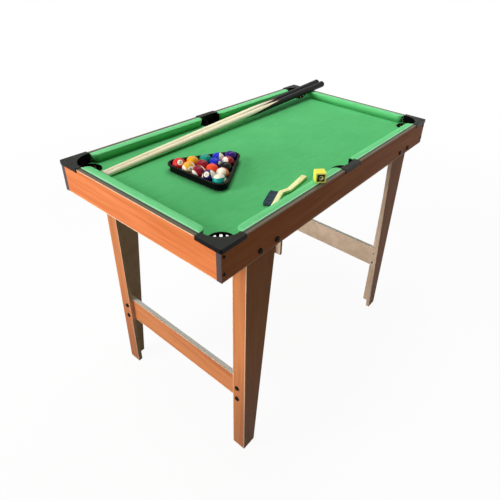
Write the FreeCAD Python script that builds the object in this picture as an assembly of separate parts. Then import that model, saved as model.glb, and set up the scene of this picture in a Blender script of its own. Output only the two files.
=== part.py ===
"""Small six-pocket billiards table on four bolted legs, with its cues, rack, balls, brush and chalk.

Millimetres, +Z up. The origin is on the floor under the centre of the table, +X runs along the
table's length and -Y is its front. Corner pieces are built at the front left corner and mirrored.
"""
import FreeCAD
import Part
import math
import os

Vector = FreeCAD.Vector

# Table box
TABLE_LENGTH = 920.0
TABLE_WIDTH = 520.0
TABLE_HEIGHT = 726.0
APRON_HEIGHT = 76.0
APRON_THICKNESS = 13.0
BAND_THICKNESS = 0.8

# Bed
CLOTH_DROP = 22.0
CLOTH_THICKNESS = 0.8
BED_THICKNESS = 4.0
BATTEN_WIDTH = 15.0
BATTEN_HEIGHT = 20.0
BATTEN_END_GAP = 6.0
CROSS_BATTEN_INSET = 310.0

# Cushions
CUSHION_WIDTH = 20.0
CUSHION_NOSE_FILLET = 3.0
CUSHION_CORNER_RADIUS = 16.0
CORNER_MOUTH = 67.0
SIDE_MOUTH = 68.0

# Moulded pockets
PLATE_THICKNESS = 2.0
SKIRT_THICKNESS = 2.0
SKIRT_DEPTH = 8.0
PLATE_CORNER_FILLET = 4.0
PLATE_EDGE_FILLET = 0.6
POCKET_WALL = 1.5
POCKET_FIT = 0.5
BED_HOLE_CLEARANCE = 0.5
CORNER_CUP_RADIUS = 27.5
CORNER_ARM_WIDTH = 12.5
CORNER_ARC_RADIUS = 50.5
CORNER_ARM_GAP = 1.0
SIDE_CUP_RADIUS = 31.0
SIDE_CUP_INSET = 23.0
SIDE_PLATE_LENGTH = 72.0
SIDE_PLATE_WIDTH = 14.5
SIDE_HORN_WIDTH = 18.5
SIDE_HORN_LENGTH = 2.0
BASKET_DEPTH = 46.0
BASKET_NECK = 5.0
BASKET_TAPER = 4.0
SLOT_WIDTH = 6.0
SLOT_MARGIN = 5.0
CORNER_SLOTS = 14
SIDE_SLOTS = 5
BASKET_DRAIN_RADIUS = 9.0

# Legs and stretchers
LEG_INSET = 82.0
LEG_BOARD = 12.0
LEG_SIDE_TOP = 94.0
LEG_SIDE_FOOT = 40.0
LEG_END_WIDTH = 39.0
STRETCHER_THICKNESS = 12.0
STRETCHER_HEIGHT = 76.0
STRETCHER_BASE_HEIGHT = 180.0

# Bolts, nuts and screws
BOLT_RADIUS = 3.0
BOLT_HEAD_RADIUS = 6.5
BOLT_HEAD_HEIGHT = 3.0
BOLT_HEAD_FILLET = 1.5
BOLT_SOCKET_FLATS = 4.0
BOLT_SOCKET_DEPTH = 1.8
BOLT_HOLE_CLEARANCE = 0.3
NUT_FLATS = 10.0
NUT_HEIGHT = 5.0
NUT_THREAD_CLEARANCE = 0.05
BOLT_TAIL = 1.5
LEG_BOLT_EDGE = 26.0
LEG_BOLT_SPACING = 54.0
LEG_BOLT_RISE = 14.0
STRETCHER_BOLT_INSET = 25.4
STRETCHER_BOLT_MARGIN = 15.0
STRETCHER_BOLT_TOP_MARGIN = 21.0
SCREW_RADIUS = 2.0
SCREW_LENGTH = 38.0
SCREW_HEAD_RADIUS = 3.5
SCREW_HEAD_HEIGHT = 1.4
SCREW_CROSS_LENGTH = 3.8
SCREW_CROSS_WIDTH = 0.9
SCREW_CROSS_DEPTH = 0.8
SCREW_HOLE_CLEARANCE = 0.1
SCREW_MARGIN = 18.0

# Loose pieces lie this far clear of what carries them
REST_GAP = 0.3

# Balls and rack
BALL_DIAMETER = 31.8
BALL_GAP = 0.4
BALLS_SHIFT = (-1.6, -2.8)
RACK_NOSE_DISTANCE = 192.0
RACK_MIDDLE_OFFSET = -0.4
RACK_TURN = 2.5
RACK_REACH = 77.1
RACK_OPENING_RADIUS = 16.85
RACK_WALL = 3.0
RACK_RIM_OVERHANG = 4.0
RACK_RIM_HEIGHT = 4.0
RACK_HEIGHT = 18.7
RACK_TOP_FILLET = 1.2
BALL_ROWS = ((4,), (10, 11), (6, 2, 8), (1, 7, 5, 13), (3, 9, 15, 12, 14))

# Cues
CUE_LENGTH = 936.0
CUE_TIP_DIAMETER = 11.5
CUE_BUTT_DIAMETER = 22.0
CUE_BUTT_LENGTH = 255.0
CUE_END_FILLET = 6.0
CUE_PAD_LENGTH = 4.0
CUE_FERRULE_LENGTH = 12.0
CUE_TIP_NOSE_GAP = 9.0
CUE_TIP_SIDE_GAP = 76.5
CUE_BUTT_SIDE_GAP = 56.5
CUE_PAIR_TIP_GAP = 1.5
CUE_PAIR_BUTT_GAP = 0.7

# Brush
BRUSH_NOSE_DISTANCE = 196.1
BRUSH_SIDE_GAP = 21.7
BRUSH_TURN = 23.0
BRUSH_HEAD_LENGTH = 62.0
BRUSH_WOOD_WIDTH = 12.0
BRUSH_THICKNESS = 8.0
BRUSH_NECK = (50.5, -15.0)
BRUSH_TAIL = (121.6, -31.8)
BRUSH_TAIL_WIDTH = 15.0
BRISTLE_LENGTH = 19.5
BRISTLE_MARGIN = 2.0
BRISTLE_INSET = 0.3

# Chalk
CHALK_MIDDLE_DISTANCE = 123.2
CHALK_RAIL_INSET = 18.6
CHALK_TURN = 47.0
CHALK_SIZE = 24.0
WRAPPER_THICKNESS = 0.4
CHALK_WINDOW = 17.5
CHALK_DIMPLE_RADIUS = 10.0
CHALK_DIMPLE_DEPTH = 1.8

# Heights and places that follow from the sizes above
APRON_BOTTOM = TABLE_HEIGHT - APRON_HEIGHT
BOARD_TOP = TABLE_HEIGHT - BAND_THICKNESS
CLOTH_TOP = TABLE_HEIGHT - CLOTH_DROP
BED_TOP = CLOTH_TOP - CLOTH_THICKNESS
BED_BOTTOM = BED_TOP - BED_THICKNESS
PLATE_TOP = TABLE_HEIGHT + PLATE_THICKNESS
CORNER_CUP_OUTER = CORNER_CUP_RADIUS + POCKET_WALL
CORNER_CUP_CENTRE = APRON_THICKNESS + POCKET_FIT + CORNER_CUP_OUTER
SIDE_CUP_OUTER = SIDE_CUP_RADIUS + POCKET_WALL
POCKET_BACK = APRON_THICKNESS + POCKET_FIT
LEG_OUTER = APRON_THICKNESS + LEG_BOARD
BALL_RADIUS = BALL_DIAMETER / 2
END_NOSE = TABLE_LENGTH / 2 - APRON_THICKNESS - CUSHION_WIDTH
SIDE_NOSE = TABLE_WIDTH / 2 - APRON_THICKNESS - CUSHION_WIDTH
CUE_TIP_X = -END_NOSE + CUE_TIP_NOSE_GAP
CUE_1_Y = (SIDE_NOSE - CUE_TIP_SIDE_GAP, SIDE_NOSE - CUE_BUTT_SIDE_GAP)
CUE_2_Y = (
    CUE_1_Y[0] + CUE_TIP_DIAMETER + CUE_PAIR_TIP_GAP,
    CUE_1_Y[1] + CUE_BUTT_DIAMETER + CUE_PAIR_BUTT_GAP,
)
LEG_BOLT_HEIGHT = APRON_BOTTOM + LEG_BOLT_RISE
LEG_BOLT_PLACES = (LEG_INSET + LEG_BOLT_EDGE, LEG_INSET + LEG_BOLT_EDGE + LEG_BOLT_SPACING)
STRETCHER_BOLT_HEIGHTS = (
    STRETCHER_BASE_HEIGHT + STRETCHER_BOLT_MARGIN,
    STRETCHER_BASE_HEIGHT + STRETCHER_HEIGHT - STRETCHER_BOLT_TOP_MARGIN,
)
STRETCHER_BOLT_V = APRON_THICKNESS + STRETCHER_BOLT_INSET
SCREW_HEIGHTS = (APRON_BOTTOM + SCREW_MARGIN, TABLE_HEIGHT - SCREW_MARGIN)
CORNERS = {
    "front_left": (False, False),
    "front_right": (True, False),
    "back_left": (False, True),
    "back_right": (True, True),
}


def save(name, *solids):
    """Write one node's solids to its STEP file."""
    shape = solids[0] if len(solids) == 1 else Part.makeCompound(list(solids))
    shape.exportStep(os.path.join("parts", name + ".step"))


def block(x_span, y_span, z_span):
    """A box between the low and high value of each span."""
    size = [high - low for low, high in (x_span, y_span, z_span)]
    return Part.makeBox(*size, Vector(x_span[0], y_span[0], z_span[0]))


def upright_prism(points, low, high):
    """A closed plan outline of corner points, raised from one height to another."""
    corners = [Vector(x, y, low) for x, y in points]
    face = Part.Face(Part.makePolygon(corners + corners[:1]))
    return face.extrude(Vector(0, 0, high - low))


def upright_cylinder(radius, centre, low, high):
    """A standing cylinder on a plan point."""
    return Part.makeCylinder(radius, high - low, Vector(centre[0], centre[1], low))


def to_corner(shape, flip_x, flip_y):
    """Take a piece from the front left corner's own frame to its corner of the table."""
    moved = shape.translated(Vector(-TABLE_LENGTH / 2, -TABLE_WIDTH / 2, 0))
    if flip_x:
        moved = moved.mirror(Vector(0, 0, 0), Vector(1, 0, 0))
    if flip_y:
        moved = moved.mirror(Vector(0, 0, 0), Vector(0, 1, 0))
    return moved


def at_every_corner(shape):
    """The same piece at all four corners."""
    return [to_corner(shape, *flips) for flips in CORNERS.values()]


def cut_all(shape, tools):
    """Cut each tool out of a shape and return its one solid."""
    return shape.cut(Part.makeCompound(tools)).Solids[0]


# Bolts and screws, built at the front left corner --------------------------------------------------

def hexagon(flats, low, high):
    """An upright hexagonal prism round the Z axis."""
    corner = flats / math.sqrt(3)
    turns = [math.radians(60 * k) for k in range(6)]
    return upright_prism([(corner * math.cos(a), corner * math.sin(a)) for a in turns], low, high)


def aimed(shape, point, direction):
    """Take a piece built on the Z axis to a point, with its axis along direction."""
    shape.Placement = FreeCAD.Placement(point, FreeCAD.Rotation(Vector(0, 0, 1), direction))
    return shape


def bolt(head_point, direction, grip):
    """A round-headed bolt with a hexagon socket, whose head bears on head_point."""
    shank = Part.makeCylinder(BOLT_RADIUS, grip + NUT_HEIGHT + BOLT_TAIL)
    top = Vector(0, 0, -BOLT_HEAD_HEIGHT)
    head = Part.makeCylinder(BOLT_HEAD_RADIUS, BOLT_HEAD_HEIGHT, top)
    rim = [edge for edge in head.Edges if edge.CenterOfMass.isEqual(top, 0.01)]
    head = head.makeFillet(BOLT_HEAD_FILLET, rim)
    socket = hexagon(BOLT_SOCKET_FLATS, -BOLT_HEAD_HEIGHT, BOLT_SOCKET_DEPTH - BOLT_HEAD_HEIGHT)
    whole = head.fuse(shank).cut(socket).removeSplitter().Solids[0]
    return aimed(whole, head_point, direction)


def nut(seat_point, direction):
    """A hexagon nut standing on seat_point along direction."""
    thread = Part.makeCylinder(BOLT_RADIUS + NUT_THREAD_CLEARANCE, NUT_HEIGHT)
    return aimed(hexagon(NUT_FLATS, 0, NUT_HEIGHT).cut(thread).Solids[0], seat_point, direction)


def screw(head_point, direction):
    """A flat-headed screw with a crossed recess, whose head bears on head_point."""
    shank = Part.makeCylinder(SCREW_RADIUS, SCREW_LENGTH)
    head = Part.makeCylinder(SCREW_HEAD_RADIUS, SCREW_HEAD_HEIGHT, Vector(0, 0, -SCREW_HEAD_HEIGHT))
    long = (-SCREW_CROSS_LENGTH / 2, SCREW_CROSS_LENGTH / 2)
    narrow = (-SCREW_CROSS_WIDTH / 2, SCREW_CROSS_WIDTH / 2)
    depth = (-SCREW_HEAD_HEIGHT, SCREW_CROSS_DEPTH - SCREW_HEAD_HEIGHT)
    cross = block(long, narrow, depth).fuse(block(narrow, long, depth))
    whole = head.fuse(shank).cut(cross).removeSplitter().Solids[0]
    return aimed(whole, head_point, direction)


def bolt_hole(head_point, direction, depth):
    """The clearance hole that a bolt passes through."""
    radius = BOLT_RADIUS + BOLT_HOLE_CLEARANCE
    return Part.makeCylinder(radius, depth, head_point, direction)


ACROSS = Vector(0, 1, 0)
ALONG = Vector(1, 0, 0)
LEG_BOLT_POINTS = [Vector(u, 0, LEG_BOLT_HEIGHT) for u in LEG_BOLT_PLACES]
STRETCHER_BOLT_POINTS = [Vector(LEG_INSET, STRETCHER_BOLT_V, z) for z in STRETCHER_BOLT_HEIGHTS]
SCREW_POINTS = [Vector(APRON_THICKNESS / 2, 0, z) for z in SCREW_HEIGHTS]
LEG_GRIP = APRON_THICKNESS + LEG_BOARD
STRETCHER_GRIP = LEG_BOARD + STRETCHER_THICKNESS
LEG_BOLT_HOLES = [bolt_hole(point, ACROSS, LEG_GRIP) for point in LEG_BOLT_POINTS]
STRETCHER_BOLT_HOLES = [bolt_hole(point, ALONG, STRETCHER_GRIP) for point in STRETCHER_BOLT_POINTS]
SCREW_HOLES = [
    Part.makeCylinder(SCREW_RADIUS + SCREW_HOLE_CLEARANCE, SCREW_LENGTH, point, ACROSS)
    for point in SCREW_POINTS
]


def fasteners():
    """All the bolts, nuts and apron screws."""
    bolts = [bolt(point, ACROSS, LEG_GRIP) for point in LEG_BOLT_POINTS]
    bolts += [bolt(point, ALONG, STRETCHER_GRIP) for point in STRETCHER_BOLT_POINTS]
    nuts = [nut(point + ACROSS * LEG_GRIP, ACROSS) for point in LEG_BOLT_POINTS]
    nuts += [nut(point + ALONG * STRETCHER_GRIP, ALONG) for point in STRETCHER_BOLT_POINTS]
    screws = [screw(point, ACROSS) for point in SCREW_POINTS]
    for name, group in (("frame_bolts", bolts), ("frame_nuts", nuts), ("apron_screws", screws)):
        save(name, *[solid for piece in group for solid in at_every_corner(piece)])


# Frame -------------------------------------------------------------------------------------------

def aprons():
    """Four rail boards: the long ones run full length, the short ones stand between them."""
    half_length = TABLE_LENGTH / 2
    half_width = TABLE_WIDTH / 2
    height = (APRON_BOTTOM, BOARD_TOP)
    holes = [hole for tool in LEG_BOLT_HOLES + SCREW_HOLES for hole in at_every_corner(tool)]
    long_x = (-half_length + BAND_THICKNESS, half_length - BAND_THICKNESS)
    front = block(long_x, (-half_width, -half_width + APRON_THICKNESS), height)
    back = block(long_x, (half_width - APRON_THICKNESS, half_width), height)
    short_y = (-half_width + APRON_THICKNESS, half_width - APRON_THICKNESS)
    left = block((-half_length, -half_length + APRON_THICKNESS), short_y, height)
    right = block((half_length - APRON_THICKNESS, half_length), short_y, height)
    for name, board in (("front", front), ("back", back), ("left", left), ("right", right)):
        save(name + "_apron", cut_all(board, holes))


def edge_bands():
    """Dark strips glued on the top edges of the rails and on the end grain of the long boards."""
    half_length = TABLE_LENGTH / 2
    half_width = TABLE_WIDTH / 2
    top = (BOARD_TOP, TABLE_HEIGHT)
    long_strip = block((-half_length, half_length), (-half_width, -half_width + APRON_THICKNESS), top)
    short_y = (-half_width + APRON_THICKNESS, half_width - APRON_THICKNESS)
    short_strip = block((-half_length, -half_length + APRON_THICKNESS), short_y, top)
    end_strip = block((0, BAND_THICKNESS), (0, APRON_THICKNESS), (APRON_BOTTOM, BOARD_TOP))
    strips = [long_strip, long_strip.mirror(Vector(0, 0, 0), Vector(0, 1, 0))]
    strips += [short_strip, short_strip.mirror(Vector(0, 0, 0), Vector(1, 0, 0))]
    save("edge_bands", *strips, *at_every_corner(end_strip))


def pocket_hole_tools():
    """Cutters for the six pocket holes through the bed, whose corners are notched off too."""
    corner_radius = CORNER_CUP_OUTER + BED_HOLE_CLEARANCE
    corner_centre = (CORNER_CUP_CENTRE, CORNER_CUP_CENTRE)
    corner = upright_cylinder(corner_radius, corner_centre, BED_BOTTOM, CLOTH_TOP)
    notch = (0, CORNER_CUP_CENTRE)
    corner = corner.fuse(block(notch, notch, (BED_BOTTOM, CLOTH_TOP)))
    side_radius = SIDE_CUP_OUTER + BED_HOLE_CLEARANCE
    side_centre = (0, -TABLE_WIDTH / 2 + SIDE_CUP_INSET)
    side = upright_cylinder(side_radius, side_centre, BED_BOTTOM, CLOTH_TOP)
    return at_every_corner(corner) + [side, side.mirror(Vector(0, 0, 0), Vector(0, 1, 0))]


def bed():
    """The bed board, its cloth, and the ledges and two cross battens that carry it."""
    half_length = TABLE_LENGTH / 2 - APRON_THICKNESS
    half_width = TABLE_WIDTH / 2 - APRON_THICKNESS
    plan = ((-half_length, half_length), (-half_width, half_width))
    holes = pocket_hole_tools()
    save("bed_board", cut_all(block(*plan, (BED_BOTTOM, BED_TOP)), holes))
    save("bed_cloth", cut_all(block(*plan, (BED_TOP, CLOTH_TOP)), holes))
    height = (BED_BOTTOM - BATTEN_HEIGHT, BED_BOTTOM)
    depth = (APRON_THICKNESS, APRON_THICKNESS + BATTEN_WIDTH)
    long_start = LEG_INSET + LEG_SIDE_TOP + BATTEN_END_GAP
    long_end = TABLE_LENGTH / 2 - SIDE_CUP_OUTER - BATTEN_END_GAP
    battens = at_every_corner(block((long_start, long_end), depth, height))
    short_start = CORNER_CUP_CENTRE + CORNER_CUP_OUTER + BATTEN_END_GAP
    short = block(depth, (short_start, TABLE_WIDTH - short_start), height)
    cross_x = (CROSS_BATTEN_INSET, CROSS_BATTEN_INSET + BATTEN_WIDTH)
    cross = block(cross_x, (depth[1], TABLE_WIDTH - depth[1]), height)
    battens += [to_corner(piece, flip, False) for piece in (short, cross) for flip in (False, True)]
    save("bed_battens", *battens)


def cushion(length):
    """One cushion from x = 0 to its length, with its back at y = 0 and its nose towards +Y."""
    radius = CUSHION_CORNER_RADIUS
    width = CUSHION_WIDTH
    bend = radius * (1 - math.sqrt(0.5))
    low = CLOTH_TOP
    back_start = Vector(0, 0, low)
    start_low = Vector(0, width - radius, low)
    start_high = Vector(radius, width, low)
    end_high = Vector(length - radius, width, low)
    end_low = Vector(length, width - radius, low)
    back_end = Vector(length, 0, low)
    edges = [
        Part.LineSegment(back_start, start_low).toShape(),
        Part.Arc(start_low, Vector(bend, width - bend, low), start_high).toShape(),
        Part.LineSegment(start_high, end_high).toShape(),
        Part.Arc(end_high, Vector(length - bend, width - bend, low), end_low).toShape(),
        Part.LineSegment(end_low, back_end).toShape(),
        Part.LineSegment(back_end, back_start).toShape(),
    ]
    solid = Part.Face(Part.Wire(edges)).extrude(Vector(0, 0, CLOTH_DROP))
    nose = [
        edge for edge in solid.Edges
        if edge.BoundBox.ZMin > TABLE_HEIGHT - 0.01 and edge.BoundBox.YMax > 0.01
    ]
    return solid.makeFillet(CUSHION_NOSE_FILLET, nose)


def cushions():
    """Six cushions: one on each short rail and two on each long rail."""
    long_length = TABLE_LENGTH / 2 - CORNER_MOUTH - SIDE_MOUTH / 2
    long_cushion = cushion(long_length).translated(Vector(CORNER_MOUTH, APRON_THICKNESS, 0))
    for name, flips in CORNERS.items():
        save(name + "_cushion", to_corner(long_cushion, *flips))
    short_cushion = cushion(TABLE_WIDTH - 2 * CORNER_MOUTH)
    short_cushion.rotate(Vector(0, 0, 0), Vector(0, 0, 1), -90)
    short_cushion.translate(Vector(APRON_THICKNESS, TABLE_WIDTH - CORNER_MOUTH, 0))
    save("left_cushion", to_corner(short_cushion, False, False))
    save("right_cushion", to_corner(short_cushion, True, False))


# Pockets -----------------------------------------------------------------------------------------

def soften_top(solid):
    """Round the top edges of a moulded plate."""
    top = [edge for edge in solid.Edges if edge.BoundBox.ZMin > PLATE_TOP - 0.01]
    return solid.makeFillet(PLATE_EDGE_FILLET, top)


def corner_plate():
    """The corner cap: a top plate with a concave inner edge and a skirt down the outer faces."""
    arm = CORNER_MOUTH - CORNER_ARM_GAP
    side = CORNER_ARM_WIDTH
    centre = side + CORNER_ARC_RADIUS
    nearest = centre - CORNER_ARC_RADIUS * math.sqrt(0.5)
    out = -SKIRT_THICKNESS
    low = TABLE_HEIGHT - SKIRT_DEPTH
    points = [Vector(x, y, low) for x, y in (
        (centre, side), (arm, side), (arm, out), (out, out), (out, arm), (side, arm), (side, centre),
    )]
    edges = [Part.LineSegment(a, b).toShape() for a, b in zip(points, points[1:])]
    edges.append(Part.Arc(points[-1], Vector(nearest, nearest, low), points[0]).toShape())
    cap = Part.Face(Part.Wire(edges)).extrude(Vector(0, 0, PLATE_TOP - low))
    corner = [
        edge for edge in cap.Edges
        if edge.BoundBox.XMax < out + 0.01 and edge.BoundBox.YMax < out + 0.01
    ]
    cap = cap.makeFillet(PLATE_CORNER_FILLET, corner)
    cap = soften_top(cap)
    return cap.cut(block((0, arm), (0, arm), (low, TABLE_HEIGHT)))


def basket_slots(centre, low, high, reach, angles):
    """Radial cutters for the slots round a basket."""
    cutter = block((0, reach), (-SLOT_WIDTH / 2, SLOT_WIDTH / 2), (low, high))
    slots = []
    for angle in angles:
        slot = cutter.rotated(Vector(0, 0, 0), Vector(0, 0, 1), angle)
        slots.append(slot.translated(Vector(centre[0], centre[1], 0)))
    return slots


def corner_pocket():
    """Cap, collar and slotted basket, moulded as one piece."""
    inner = CORNER_CUP_RADIUS
    outer = CORNER_CUP_OUTER
    centre = CORNER_CUP_CENTRE
    neck = CLOTH_TOP - BASKET_NECK
    floor = CLOTH_TOP - BASKET_DEPTH
    profile = [
        (inner, CLOTH_TOP), (outer, CLOTH_TOP), (outer, neck), (outer - BASKET_TAPER, floor),
        (BASKET_DRAIN_RADIUS, floor), (BASKET_DRAIN_RADIUS, floor + POCKET_WALL),
        (inner - BASKET_TAPER, floor + POCKET_WALL), (inner, neck),
    ]
    corners = [Vector(centre + radius, centre, z) for radius, z in profile]
    section = Part.Face(Part.makePolygon(corners + corners[:1]))
    basket = section.revolve(Vector(centre, centre, 0), Vector(0, 0, 1), 360)
    angles = [45.0 + 360.0 / CORNER_SLOTS * k for k in range(CORNER_SLOTS)]
    slot_low = floor + POCKET_WALL + SLOT_MARGIN
    slots = basket_slots((centre, centre), slot_low, neck, outer + 1, angles)
    ring = upright_cylinder(outer, (centre, centre), CLOTH_TOP, TABLE_HEIGHT)
    ring = ring.cut(upright_cylinder(inner, (centre, centre), CLOTH_TOP, TABLE_HEIGHT))
    collar = ring.common(block((0, centre), (0, centre), (CLOTH_TOP, TABLE_HEIGHT)))
    arm = CORNER_MOUTH - CORNER_ARM_GAP
    wall = (centre - outer, centre - inner)
    flange_x = block((centre, arm), wall, (CLOTH_TOP, TABLE_HEIGHT))
    flange_y = block(wall, (centre, arm), (CLOTH_TOP, TABLE_HEIGHT))
    cup = basket.cut(Part.makeCompound(slots))
    return cup.multiFuse([collar, flange_x, flange_y, corner_plate()]).removeSplitter().Solids[0]


def side_cup(radius, back, low, high):
    """A D-shaped plug: a cylinder cut off flat towards the rail."""
    plug = upright_cylinder(radius, (0, SIDE_CUP_INSET), low, high)
    return plug.common(block((-radius, radius), (back, SIDE_CUP_INSET + radius), (low, high)))


def side_pocket():
    """The middle pocket at the front: plate, skirt, collar and slotted basket, with x = 0 its middle."""
    half = SIDE_PLATE_LENGTH / 2
    horn = half - SIDE_HORN_LENGTH
    out = -SKIRT_THICKNESS
    low = TABLE_HEIGHT - SKIRT_DEPTH
    points = [Vector(x, y, low) for x, y in (
        (horn, SIDE_HORN_WIDTH), (half, SIDE_HORN_WIDTH), (half, out),
        (-half, out), (-half, SIDE_HORN_WIDTH), (-horn, SIDE_HORN_WIDTH),
    )]
    edges = [Part.LineSegment(a, b).toShape() for a, b in zip(points, points[1:])]
    edges.append(Part.Arc(points[-1], Vector(0, SIDE_PLATE_WIDTH, low), points[0]).toShape())
    cap = soften_top(Part.Face(Part.Wire(edges)).extrude(Vector(0, 0, PLATE_TOP - low)))
    cap = cap.cut(block((-half, half), (0, SIDE_HORN_WIDTH), (low, TABLE_HEIGHT)))
    floor = CLOTH_TOP - BASKET_DEPTH
    inner_back = POCKET_BACK + POCKET_WALL
    shell = side_cup(SIDE_CUP_OUTER, POCKET_BACK, floor, TABLE_HEIGHT)
    shell = shell.cut(side_cup(SIDE_CUP_RADIUS, inner_back, floor + POCKET_WALL, TABLE_HEIGHT))
    nose = APRON_THICKNESS + CUSHION_WIDTH - CUSHION_NOSE_FILLET
    mouth = block(
        (-SIDE_CUP_OUTER, SIDE_CUP_OUTER), (nose, SIDE_CUP_INSET + SIDE_CUP_OUTER),
        (CLOTH_TOP, TABLE_HEIGHT),
    )
    drain = upright_cylinder(BASKET_DRAIN_RADIUS, (0, SIDE_CUP_INSET), floor, floor + POCKET_WALL)
    angles = [180.0 / (SIDE_SLOTS - 1) * k for k in range(SIDE_SLOTS)]
    slot_span = (floor + POCKET_WALL + SLOT_MARGIN, CLOTH_TOP - BASKET_NECK)
    slots = basket_slots((0, SIDE_CUP_INSET), *slot_span, SIDE_CUP_OUTER + 1, angles)
    shell = shell.cut(Part.makeCompound([mouth, drain] + slots))
    whole = shell.fuse(cap).removeSplitter().Solids[0]
    return whole.translated(Vector(0, -TABLE_WIDTH / 2, 0))


def pockets():
    """Four corner pockets and two side pockets."""
    corner = corner_pocket()
    for name, flips in CORNERS.items():
        save("corner_pocket_" + name, to_corner(corner, *flips))
    side = side_pocket()
    save("side_pocket_front", side)
    save("side_pocket_back", side.mirror(Vector(0, 0, 0), Vector(0, 1, 0)))


# Legs --------------------------------------------------------------------------------------------

def legs():
    """Four L-shaped legs, each of two mitred boards, and the board between each pair."""
    inner = LEG_INSET + LEG_BOARD
    side_edge = LEG_INSET + LEG_SIDE_TOP
    end_edge = APRON_THICKNESS + LEG_END_WIDTH
    elevation = [
        (LEG_INSET, 0), (LEG_INSET + LEG_SIDE_FOOT, 0), (side_edge, APRON_BOTTOM),
        (side_edge, BED_BOTTOM), (LEG_INSET, BED_BOTTOM),
    ]
    outline = [Vector(x, APRON_THICKNESS, z) for x, z in elevation]
    side = Part.Face(Part.makePolygon(outline + outline[:1])).extrude(Vector(0, LEG_BOARD, 0))
    mitre = [
        (LEG_INSET, APRON_THICKNESS), (side_edge, APRON_THICKNESS),
        (side_edge, LEG_OUTER), (inner, LEG_OUTER),
    ]
    side = side.common(upright_prism(mitre, 0, BED_BOTTOM))
    side = cut_all(side, LEG_BOLT_HOLES)
    end_plan = [
        (LEG_INSET, APRON_THICKNESS), (inner, LEG_OUTER), (inner, end_edge), (LEG_INSET, end_edge),
    ]
    end = cut_all(upright_prism(end_plan, 0, BED_BOTTOM), STRETCHER_BOLT_HOLES)
    for name, flips in CORNERS.items():
        save("leg_" + name + "_side", to_corner(side, *flips))
        save("leg_" + name + "_end", to_corner(end, *flips))
    stretcher_x = (inner, inner + STRETCHER_THICKNESS)
    stretcher_y = (LEG_OUTER, TABLE_WIDTH - LEG_OUTER)
    stretcher_z = (STRETCHER_BASE_HEIGHT, STRETCHER_BASE_HEIGHT + STRETCHER_HEIGHT)
    board = to_corner(block(stretcher_x, stretcher_y, stretcher_z), False, False)
    holes = [hole for tool in STRETCHER_BOLT_HOLES for hole in at_every_corner(tool)]
    board = cut_all(board, holes)
    save("left_stretcher", board)
    save("right_stretcher", board.mirror(Vector(0, 0, 0), Vector(1, 0, 0)))


# Balls, rack, cues, brush and chalk --------------------------------------------------------------

def rounded_triangle(radius, low, high):
    """The rack's triangle of corner centres, grown by a radius all round and raised."""
    edges = []
    ends = []
    for corner in range(3):
        heading = 120.0 * corner
        x = RACK_REACH * math.cos(math.radians(heading))
        y = RACK_REACH * math.sin(math.radians(heading))
        arc = [
            Vector(x + radius * math.cos(math.radians(heading + turn)),
                   y + radius * math.sin(math.radians(heading + turn)), low)
            for turn in (-60, 0, 60)
        ]
        edges.append(Part.Arc(*arc).toShape())
        ends.append(arc)
    for corner in range(3):
        edges.append(Part.LineSegment(ends[corner][2], ends[(corner + 1) % 3][0]).toShape())
    wire = Part.Wire(Part.__sortEdges__(edges))
    return Part.Face(wire).extrude(Vector(0, 0, high - low))


def rack_and_balls():
    """The rack and its balls, with the apex row first and each row from the back to the front."""
    turn = FreeCAD.Rotation(Vector(0, 0, 1), RACK_TURN)
    seat = CLOTH_TOP + REST_GAP
    place = FreeCAD.Placement(Vector(RACK_NOSE_DISTANCE - END_NOSE, RACK_MIDDLE_OFFSET, 0), turn)
    opening = RACK_OPENING_RADIUS
    high = seat + RACK_HEIGHT
    wall = rounded_triangle(opening + RACK_WALL, seat, high - RACK_RIM_HEIGHT)
    reach = opening + RACK_WALL + RACK_RIM_OVERHANG
    rim = rounded_triangle(reach, high - RACK_RIM_HEIGHT, high)
    top = [edge for edge in rim.Edges if edge.BoundBox.ZMin > high - 0.01]
    rim = rim.makeFillet(RACK_TOP_FILLET, top)
    rack = wall.fuse(rim).cut(rounded_triangle(opening, seat, high)).removeSplitter().Solids[0]
    rack.Placement = place
    save("rack", rack)
    pitch = BALL_DIAMETER + BALL_GAP
    apex = (len(BALL_ROWS) - 1) * pitch / math.sqrt(3)
    for row, numbers in enumerate(BALL_ROWS):
        for index, number in enumerate(numbers):
            x = apex - row * pitch * math.sqrt(3) / 2
            y = (row / 2 - index) * pitch
            shifted = Vector(x + BALLS_SHIFT[0], y + BALLS_SHIFT[1], seat + BALL_RADIUS)
            centre = place.multVec(shifted)
            save("ball_%02d" % number, Part.makeSphere(BALL_RADIUS, centre))


def cue_radius(distance):
    """The cue's radius at a distance from its tip: a straight taper."""
    tip = CUE_TIP_DIAMETER / 2
    return tip + (CUE_BUTT_DIAMETER / 2 - tip) * distance / CUE_LENGTH


def cue_length_of(start, end):
    """A stretch of the cue along +X, between two distances from the tip."""
    return Part.makeCone(
        cue_radius(start), cue_radius(end), end - start, Vector(start, 0, 0), Vector(1, 0, 0)
    )


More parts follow.
